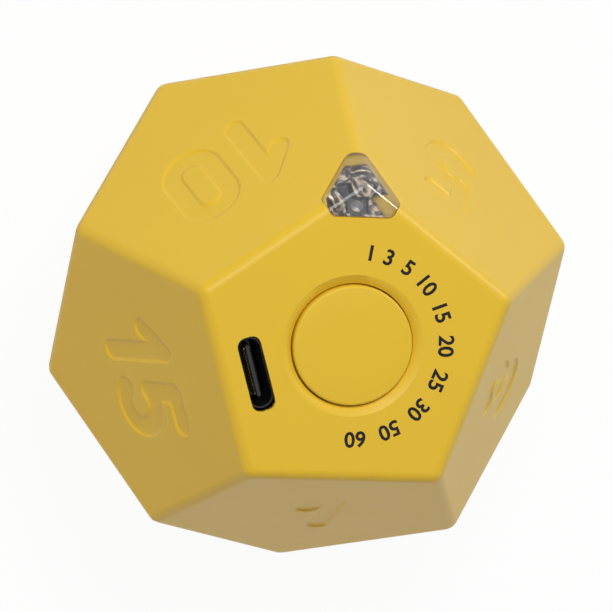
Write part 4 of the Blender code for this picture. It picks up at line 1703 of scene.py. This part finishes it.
@dataclass
class SignalWindow:
    """The clear corner piece and the light behind it, with depths from the sharp corner along its axis."""

    nodes: Mapping[str, bpy.types.Object]
    palette: Palette
    ridge_rounding: float = 1.7 * MM
    ridge_cuts: int = 7
    facet_depth: float = 0.06 * MM
    wall_growth: float = 0.14 * MM
    light_depth: float = 7.00 * MM
    light_size: tuple[float, float, float] = (2.4 * MM, 2.0 * MM, 1.8 * MM)
    light_corner: float = 0.2 * MM
    bevel: float = 0.1 * MM
    well: tuple[float, float, float] = (0.78 * MM, 0.56 * MM, 0.55 * MM)
    die: float = 0.24 * MM
    die_count: int = 3
    die_gap: float = 0.36 * MM
    steps: int = 72

    def grow(self, shape: bmesh.types.BMesh) -> None:
        """Moves the lens's walls outwards, so that only a hairline gap is left round it.

        Args:
            shape: the lens, which is changed.
        """
        axis = BODY.window.col[2].to_3d()
        shape.normal_update()
        moves = []
        for vert in shape.verts:
            walls = [face.normal for face in vert.link_faces if abs(face.normal.dot(axis)) < SIDEWAYS]
            if walls:
                out = sum(walls, Vector()).normalized()
                moves.append((vert, out * (self.wall_growth / min(out.dot(wall) for wall in walls))))
        for vert, move in moves:
            vert.co += move

    def lens(self) -> None:
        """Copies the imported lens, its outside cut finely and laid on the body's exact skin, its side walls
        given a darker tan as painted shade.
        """
        shape = bmesh.new()
        shape.from_mesh(self.nodes["window_lens"].data)
        bmesh.ops.remove_doubles(shape, verts=shape.verts, dist=WELD)
        tolerance = self.facet_depth / 3
        outside = {vert for vert in shape.verts if BODY.skin_normal(vert.co, self.ridge_rounding, tolerance)}
        self.grow(shape)
        for vert in outside:
            vert.co = BODY.skin_place(vert.co, self.ridge_rounding, self.wall_growth)[0]
        cut = [edge for edge in shape.edges if outside.issuperset(edge.verts)]
        bmesh.ops.subdivide_edges(shape, edges=cut, cuts=self.ridge_cuts, use_grid_fill=True)
        for vert in shape.verts:
            found = BODY.skin_place(vert.co, self.ridge_rounding, self.facet_depth)
            if found:
                vert.co = found[0]
        bmesh.ops.triangulate(shape, faces=shape.faces)
        mesh = mesh_from(shape, "window_clear")
        mesh.shade_flat()
        points = [vert.co.copy() for vert in mesh.vertices]
        set_normals(mesh, lambda index: BODY.skin_normal(points[index], self.ridge_rounding, tolerance))
        piece("window_clear", mesh, self.palette.clear, Body.HOUSING, ["window_lens"])
        axis = BODY.window.col[2].to_3d()
        # The side walls get the darker tan: painted shade in place of the dimly lit seat seen through the
        # lens.
        second_finish(mesh, self.palette.painted_wall_shade, lambda face: abs(face.normal.dot(axis)) < SIDEWAYS)

    def light(self) -> None:
        """The light's black package with its bright well."""
        length, width, height = self.light_size
        rim, floor, depth = self.well
        outer = box_reach(length, width, self.light_corner)
        inner = box_reach(length - 2 * self.bevel, width - 2 * self.bevel, self.light_corner)
        box = ((0.0, outer), (height - self.bevel, outer), (height, inner))
        well = ((height, rim), (height - depth, floor))
        mesh = mesh_from(lofted(self.steps, box + well), "signal_package")
        mesh.transform(BODY.window @ Matrix.Translation((0, 0, -self.light_depth)))
        finish = self.palette.black_gloss
        piece("signal_package", mesh, finish, Body.HOUSING, ["signal_light"])
        place = BODY.window.inverted()

        def in_well(face: bpy.types.MeshPolygon) -> bool:
            """Whether a face lies in the well."""
            middle = place @ face.center
            return math.hypot(middle.x, middle.y) < rim and middle.z > -self.light_depth + height / 4

        second_finish(mesh, self.palette.silver, in_well)

    def dies(self) -> None:
        """Three light-giving dies in a row on the floor of the well."""
        sizes = {"Count": self.die_count, "Gap": self.die_gap, "Width": self.die}
        group = GeometryMaker("signal_dies", sizes)
        width = group.given("Width")
        row = group.row(group.block(width, width, self.die / 3))
        mesh = group.made(row, bpy.data.meshes.new("dies_base"), self.palette.phosphor)
        floor = self.light_size[2] - self.well[2] - self.light_depth
        mesh.transform(BODY.window @ Matrix.Translation((-self.die_gap, 0, floor + self.die / 6)))
        piece("signal_dies", mesh, self.palette.phosphor, Body.HOUSING)

    def build(self) -> None:
        """Makes the window and its light."""
        self.lens()
        self.light()
        self.dies()


@dataclass
class ChargingPort:
    """The upright charging socket behind its slot: a steel shell, a tongue and its gilt contacts."""

    palette: Palette
    radius_share: float = 0.750
    azimuth: float = 198.0
    length: float = 8.94 * MM
    width: float = 3.26 * MM
    wall: float = 0.30 * MM
    lip: float = 0.08 * MM
    floor: float = 1.2 * MM
    shell_round: float = 0.49
    base_height: float = 2.4 * MM
    base_gap: float = 0.25 * MM
    tongue_length: float = 6.7 * MM
    tongue_thickness: float = 0.7 * MM
    tongue_rounds: tuple[float, float, float, float] = (0.45, 0.3, 0.2, 0.15)
    root_growth: tuple[float, float] = (0.2 * MM, 0.5 * MM)
    root_height: float = 0.6 * MM
    tip_loss: float = 0.3 * MM
    tip_height: float = 0.2 * MM
    contacts: int = 12
    contact_pitch: float = 0.5 * MM
    contact_width: float = 0.26 * MM
    contact_height: float = 2.2 * MM
    contact_lift: float = 0.03 * MM
    contact_top: float = 0.5 * MM
    steps: int = 96

    @property
    def place(self) -> Matrix:
        """The socket's axis on the button face, its length along X before it is turned."""
        point = polar(self.radius_share * BODY.apothem, self.azimuth)
        return Matrix.Translation(point) @ Matrix.Rotation(math.radians(self.azimuth + 90), 4, "Z")

    def shell(self) -> None:
        """The drawn shell, a cup with a soft lip."""
        low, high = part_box("socket_shell")

        def reach(inset: float) -> Callable[[float], float]:
            """The shell's outline moved inwards."""
            width = self.width - 2 * inset
            return box_reach(self.length - 2 * inset, width, width * self.shell_round)

        levels = [
            (low.z, reach(0.0)),
            (high.z - self.lip, reach(0.0)),
            (high.z, reach(self.lip)),
            (high.z, reach(self.wall - self.lip)),
            (high.z - self.lip, reach(self.wall)),
            (low.z + self.floor, reach(self.wall)),
        ]
        mesh = mesh_from(lofted(self.steps, levels), "charging_shell")
        mesh.transform(self.place)
        piece("charging_shell", mesh, self.palette.dark_metal, Body.HOUSING, ["socket_shell"])

    def tongue(self) -> None:
        """The tongue on its base, with a chamfered tip."""
        low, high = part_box("socket_tongue")
        base = low.z + self.base_height
        thick, long = self.tongue_thickness, self.tongue_length
        inset = self.wall + self.base_gap
        room = self.width - 2 * inset
        base_round, root_round, blade_round, tip_round = self.tongue_rounds
        wide = box_reach(self.length - 2 * inset, room, room * base_round)
        root = box_reach(long + self.root_growth[0], thick + self.root_growth[1], thick * root_round)
        blade = box_reach(long, thick, thick * blade_round)
        tip = box_reach(long - self.tip_loss, thick - self.tip_loss, thick * tip_round)
        levels = [
            (low.z, wide),
            (base, wide),
            (base, root),
            (base + self.root_height, root),
            (base + self.root_height, blade),
            (high.z - self.tip_height, blade),
            (high.z, tip),
        ]
        mesh = mesh_from(lofted(self.steps, levels), "charging_tongue")
        mesh.transform(self.place)
        piece("charging_tongue", mesh, self.palette.black, Body.HOUSING, ["socket_tongue"])

    def contact_strips(self) -> None:
        """A row of gilt strips on each face of the tongue."""
        sizes = {"Count": self.contacts, "Gap": self.contact_pitch, "Strip": self.contact_width}
        group = GeometryMaker("contact_rows", sizes)
        row = group.row(group.block(group.given("Strip"), 2 * self.contact_lift, self.contact_height))
        half_row, half_tongue = self.contact_pitch * (self.contacts - 1) / 2, self.tongue_thickness / 2
        sides = [group.moved(row, Translation=(-half_row, side * half_tongue, 0.0)) for side in (-1, 1)]
        mesh = group.made(group.joined(sides), bpy.data.meshes.new("strip_base"), self.palette.gold)
        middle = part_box("socket_tongue")[1].z - self.contact_height / 2 - self.contact_top
        mesh.transform(self.place @ Matrix.Translation((0, 0, middle)))
        piece("charging_contacts", mesh, self.palette.gold, Body.HOUSING)

    def build(self) -> None:
        """Makes the socket."""
        self.shell()
        self.tongue()
        self.contact_strips()


@dataclass
class BoardScrews:
    """Four pan-head screws with a cross recess and a rolled thread, up into the bosses."""

    palette: Palette
    radius_share: float = 0.900
    head_radius: float = 1.8 * MM
    head_height: float = 1.3 * MM
    head_round: float = 0.6
    head_steps: int = 6
    recess_radius: float = 1.0 * MM
    recess_depth: float = 0.7 * MM
    recess_taper: float = 0.55
    recess_core: float = 0.30
    recess_sharpness: int = 5
    core_radius: float = 0.80 * MM
    thread_radius: float = 1.00 * MM
    thread_slope: float = 3.2
    pitch: float = 0.60 * MM
    steps: int = 40
    rings_per_turn: int = 6
    sharp_angle: float = 40.0

    def cross(self, depth_share: float) -> Callable[[float], float]:
        """The outline of the cross recess, which narrows as it goes in.

        Args:
            depth_share: how deep the outline lies, 0 at the top and 1 at the floor.

        Returns:
            The reach at an angle in degrees.
        """

        def reach(degrees: float) -> float:
            """How far the recess reaches at an angle.

            Args:
                degrees: the angle.

            Returns:
                The distance from the axis.
            """
            arm = abs(math.cos(math.radians(2 * degrees))) ** self.recess_sharpness
            narrowed = self.recess_radius * (1 - self.recess_taper * depth_share)
            return narrowed * (self.recess_core + (1 - self.recess_core) * arm)

        return reach

    def thread(self, height: float) -> Callable[[float], float]:
        """The outline of the thread at a height.

        Args:
            height: the place along the screw's axis.

        Returns:
            The reach at an angle in degrees.
        """

        def reach(degrees: float) -> float:
            """How far the thread reaches at an angle.

            Args:
                degrees: the angle.

            Returns:
                The distance from the axis.
            """
            share = (height / self.pitch - degrees / 360) % 1
            crest = max(0.0, 1 - abs(share - 0.5) * self.thread_slope)
            return self.core_radius + (self.thread_radius - self.core_radius) * crest

        return reach

    def screw(self) -> bpy.types.Mesh:
        """One screw, its axis up from the underside of its head.

        Returns:
            The mesh.
        """
        low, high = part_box("board_screw_1")
        length = high.z - low.z
        head = self.head_height
        corner = head * self.head_round
        dome = rounded((self.head_radius - corner, corner), corner, -90, 0, self.head_steps)
        turns = (length - head - self.core_radius) / self.pitch
        count = round(turns * self.rings_per_turn)
        threaded = [head + i * self.pitch / self.rings_per_turn for i in range(1, count + 1)]
        levels = [
            (self.recess_depth, self.cross(1.0)),
            (0.0, self.cross(0.0)),
            *((height, radius) for radius, height in dome),
            (head, self.head_radius),
            (head, self.core_radius),
            *((height, self.thread(height)) for height in threaded),
            (length, self.core_radius / 3),
        ]
        mesh = mesh_from(lofted(self.steps, levels), "screw_master", self.sharp_angle)
        mesh.transform(Matrix.Translation((0, 0, low.z)))
        return mesh

    def build(self) -> None:
        """Sets a screw in every corner of the board but the one at the window."""
        sizes = {"Corners": FACE_SIDES, "Radius": self.radius_share * BODY.apothem, "Window": 1}
        group = GeometryMaker("screw_ring", sizes)
        sockets = {0: group.given("Corners"), "Radius": group.given("Radius")}
        ring = group.node("GeometryNodeMeshCircle", sockets=sockets)
        sockets = {2: group.node("GeometryNodeInputIndex"), 3: group.given("Window")}
        match = group.node("FunctionNodeCompare", {"data_type": "INT", "operation": "EQUAL"}, sockets)
        kept = group.node("GeometryNodeDeleteGeometry", sockets={0: ring, "Selection": match})
        placed = group.copies(kept, group.given("Geometry"))
        turned = group.moved(placed, Rotation=(0.0, 0.0, math.radians(WINDOW_AZIMUTH - STEP_ANGLE)))
        mesh = group.made(turned, self.screw(), self.palette.steel)
        names = [f"board_screw_{i}" for i in range(1, 5)]
        piece("board_screws", mesh, self.palette.steel, Body.HOUSING, names)


@dataclass
class InnerParts:
    """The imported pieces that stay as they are, with their finishes."""

    nodes: Mapping[str, bpy.types.Object]
    palette: Palette

    def finishes(self) -> dict[Finish, str]:
        """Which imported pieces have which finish.

        Returns:
            The names of the pieces of each finish, with spaces between them.
        """
        p = self.palette
        return {
            p.reflector: "light_holder",
            p.board_black: "light_board",
            p.board_green: "main_board",
            p.black: "switch_base switch_plunger microcontroller motion_sensor charge_controller buzzer",
            p.steel: "switch_cover crystal",
            p.white: "battery_plug",
            p.foil: "battery_cell",
            p.foam: "battery_pad",
            p.red: "light_lead_red battery_lead_red",
            p.lead_black: "light_lead_black battery_lead_black",
        }

    def build(self) -> None:
        """Gives each piece its finish."""
        for finish, names in self.finishes().items():
            for name in names.split():
                for place in self.nodes[name].material_slots:
                    place.material = paint(finish)
                log.info("%s: %s", name, finish.name)


def direction(azimuth: float, elevation: float) -> Vector:
    """The direction at an azimuth from +X and an elevation, both in degrees."""
    rise = math.radians(elevation)
    return polar(math.cos(rise), azimuth, math.sin(rise))


@dataclass(frozen=True)
class Lamp:
    """A square soft lamp that faces the body, either for matt surfaces or for reflections.

    Angles are degrees and the power is in watts.
    """

    name: str
    size: float
    azimuth: float
    elevation: float
    power: float
    mirrored: bool = False
    colour: Colour = (1.0, 1.0, 1.0)
    distance: float = 0.7

    def build(self) -> None:
        """Sets the lamp up."""
        data = bpy.data.lights.new(self.name, "AREA")
        data.shape = "SQUARE"
        data.size = self.size
        data.energy = self.power
        data.color = self.colour
        lamp = linked(self.name, data)
        away = direction(self.azimuth, self.elevation)
        turn = away.to_track_quat("Z", "Y").to_matrix().to_4x4()
        lamp.matrix_world = Matrix.Translation(BODY.middle + away * self.distance) @ turn
        lamp.visible_diffuse = not self.mirrored
        lamp.visible_glossy = self.mirrored
        lamp.visible_transmission = self.mirrored


@dataclass
class Studio:
    """The floor, the lamps, the surroundings and the camera."""

    azimuth: float = 143.004
    elevation: float = 73.930
    roll: float = 129.840
    distance: float = 0.95650
    lens: float = 462.69
    sensor: float = 36.0
    clip_start: float = 0.01
    aim_right: float = -0.0635 * MM
    aim_up: float = 0.1192 * MM
    lamps: tuple[Lamp, ...] = (
        Lamp("key_lamp", 0.30, 93.7, 55.6, 4.05),
        Lamp("fill_lamp", 0.40, -134.9, 17.1, 1.00, colour=(1.0, 0.88, 0.95)),
        Lamp("edge_lamp", 0.40, -2.7, 28.1, 0.75),
        Lamp("rim_lamp", 0.14, 36.0, 26.0, 1.15, mirrored=True),
        Lamp("top_lamp", 0.30, 111.0, 71.6, 1.50, mirrored=True),
    )
    world_strength: float = 0.13
    world_colour: Colour = (1.0, 0.94, 0.96)
    floor_radius: float = 6.0
    floor_sides: int = 64
    floor_finish: Finish = PaleFloor("pale_floor", (0.9, 0.9, 0.9))

    def camera(self) -> None:
        """Sets the camera where the photograph was taken from."""
        back = direction(self.azimuth, self.elevation)
        level = Vector((0, 0, 1)).cross(back).normalized()
        rise = back.cross(level)
        turn = math.radians(self.roll)
        right = level * math.cos(turn) + rise * math.sin(turn)
        up = back.cross(right)
        data = bpy.data.cameras.new("camera")
        data.lens = self.lens
        data.sensor_width = self.sensor
        data.clip_start = self.clip_start
        camera = linked("camera", data)
        place = BODY.middle + back * self.distance + right * self.aim_right + up * self.aim_up
        axes = Matrix((right, up, back)).transposed()
        camera.matrix_world = Matrix.Translation(place) @ axes.to_4x4()
        bpy.context.scene.camera = camera

    def floor(self) -> None:
        """A wide pale floor that keeps a soft shadow."""
        shape = bmesh.new()
        bmesh.ops.create_circle(shape, cap_ends=True, radius=self.floor_radius, segments=self.floor_sides)
        mesh = bpy.data.meshes.new("floor")
        shape.to_mesh(mesh)
        shape.free()
        floor = linked("floor", mesh)
        mesh.materials.append(paint(self.floor_finish))
        floor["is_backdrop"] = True

    def surroundings(self) -> None:
        """A white world that lights softly."""
        world = bpy.data.worlds.new("white_room")
        world.use_nodes = True
        bpy.context.scene.world = world
        maker = ShaderMaker(world.node_tree)
        seen = maker.seen()
        colour = maker.blend(seen, self.world_colour, (1.0, 1.0, 1.0))
        strength = self.world_strength + seen * (1 - self.world_strength)
        background = maker.node("ShaderNodeBackground", sockets={"Color": colour, "Strength": strength})
        maker.node("ShaderNodeOutputWorld", sockets={"Surface": background})

    def build(self) -> None:
        """Sets the studio up."""
        self.camera()
        self.floor()
        self.surroundings()
        for lamp in self.lamps:
            lamp.build()
        bpy.context.scene.view_settings.view_transform = "Standard"


def corners(box: Sequence[Sequence[float]]) -> list[list[float]]:
    """A box as plain numbers."""
    return [[float(value) for value in corner] for corner in box]


def main() -> None:
    """Builds the dressed timer."""
    logging.basicConfig(level=logging.INFO, format="%(name)s: %(message)s")
    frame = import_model()
    packed = corners(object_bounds())
    nodes = frame["nodes"]
    palette = Palette()
    Studio().build()
    Housing(nodes, palette).build()
    PushButton(palette).build()
    SignalWindow(nodes, palette).build()
    ChargingPort(palette).build()
    BoardScrews(palette).build()
    PrintedRing(palette).build()
    InnerParts(nodes, palette).build()
    json.dumps({"cad": packed, "visual": corners(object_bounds())})


if __name__ == "__main__":
    main()
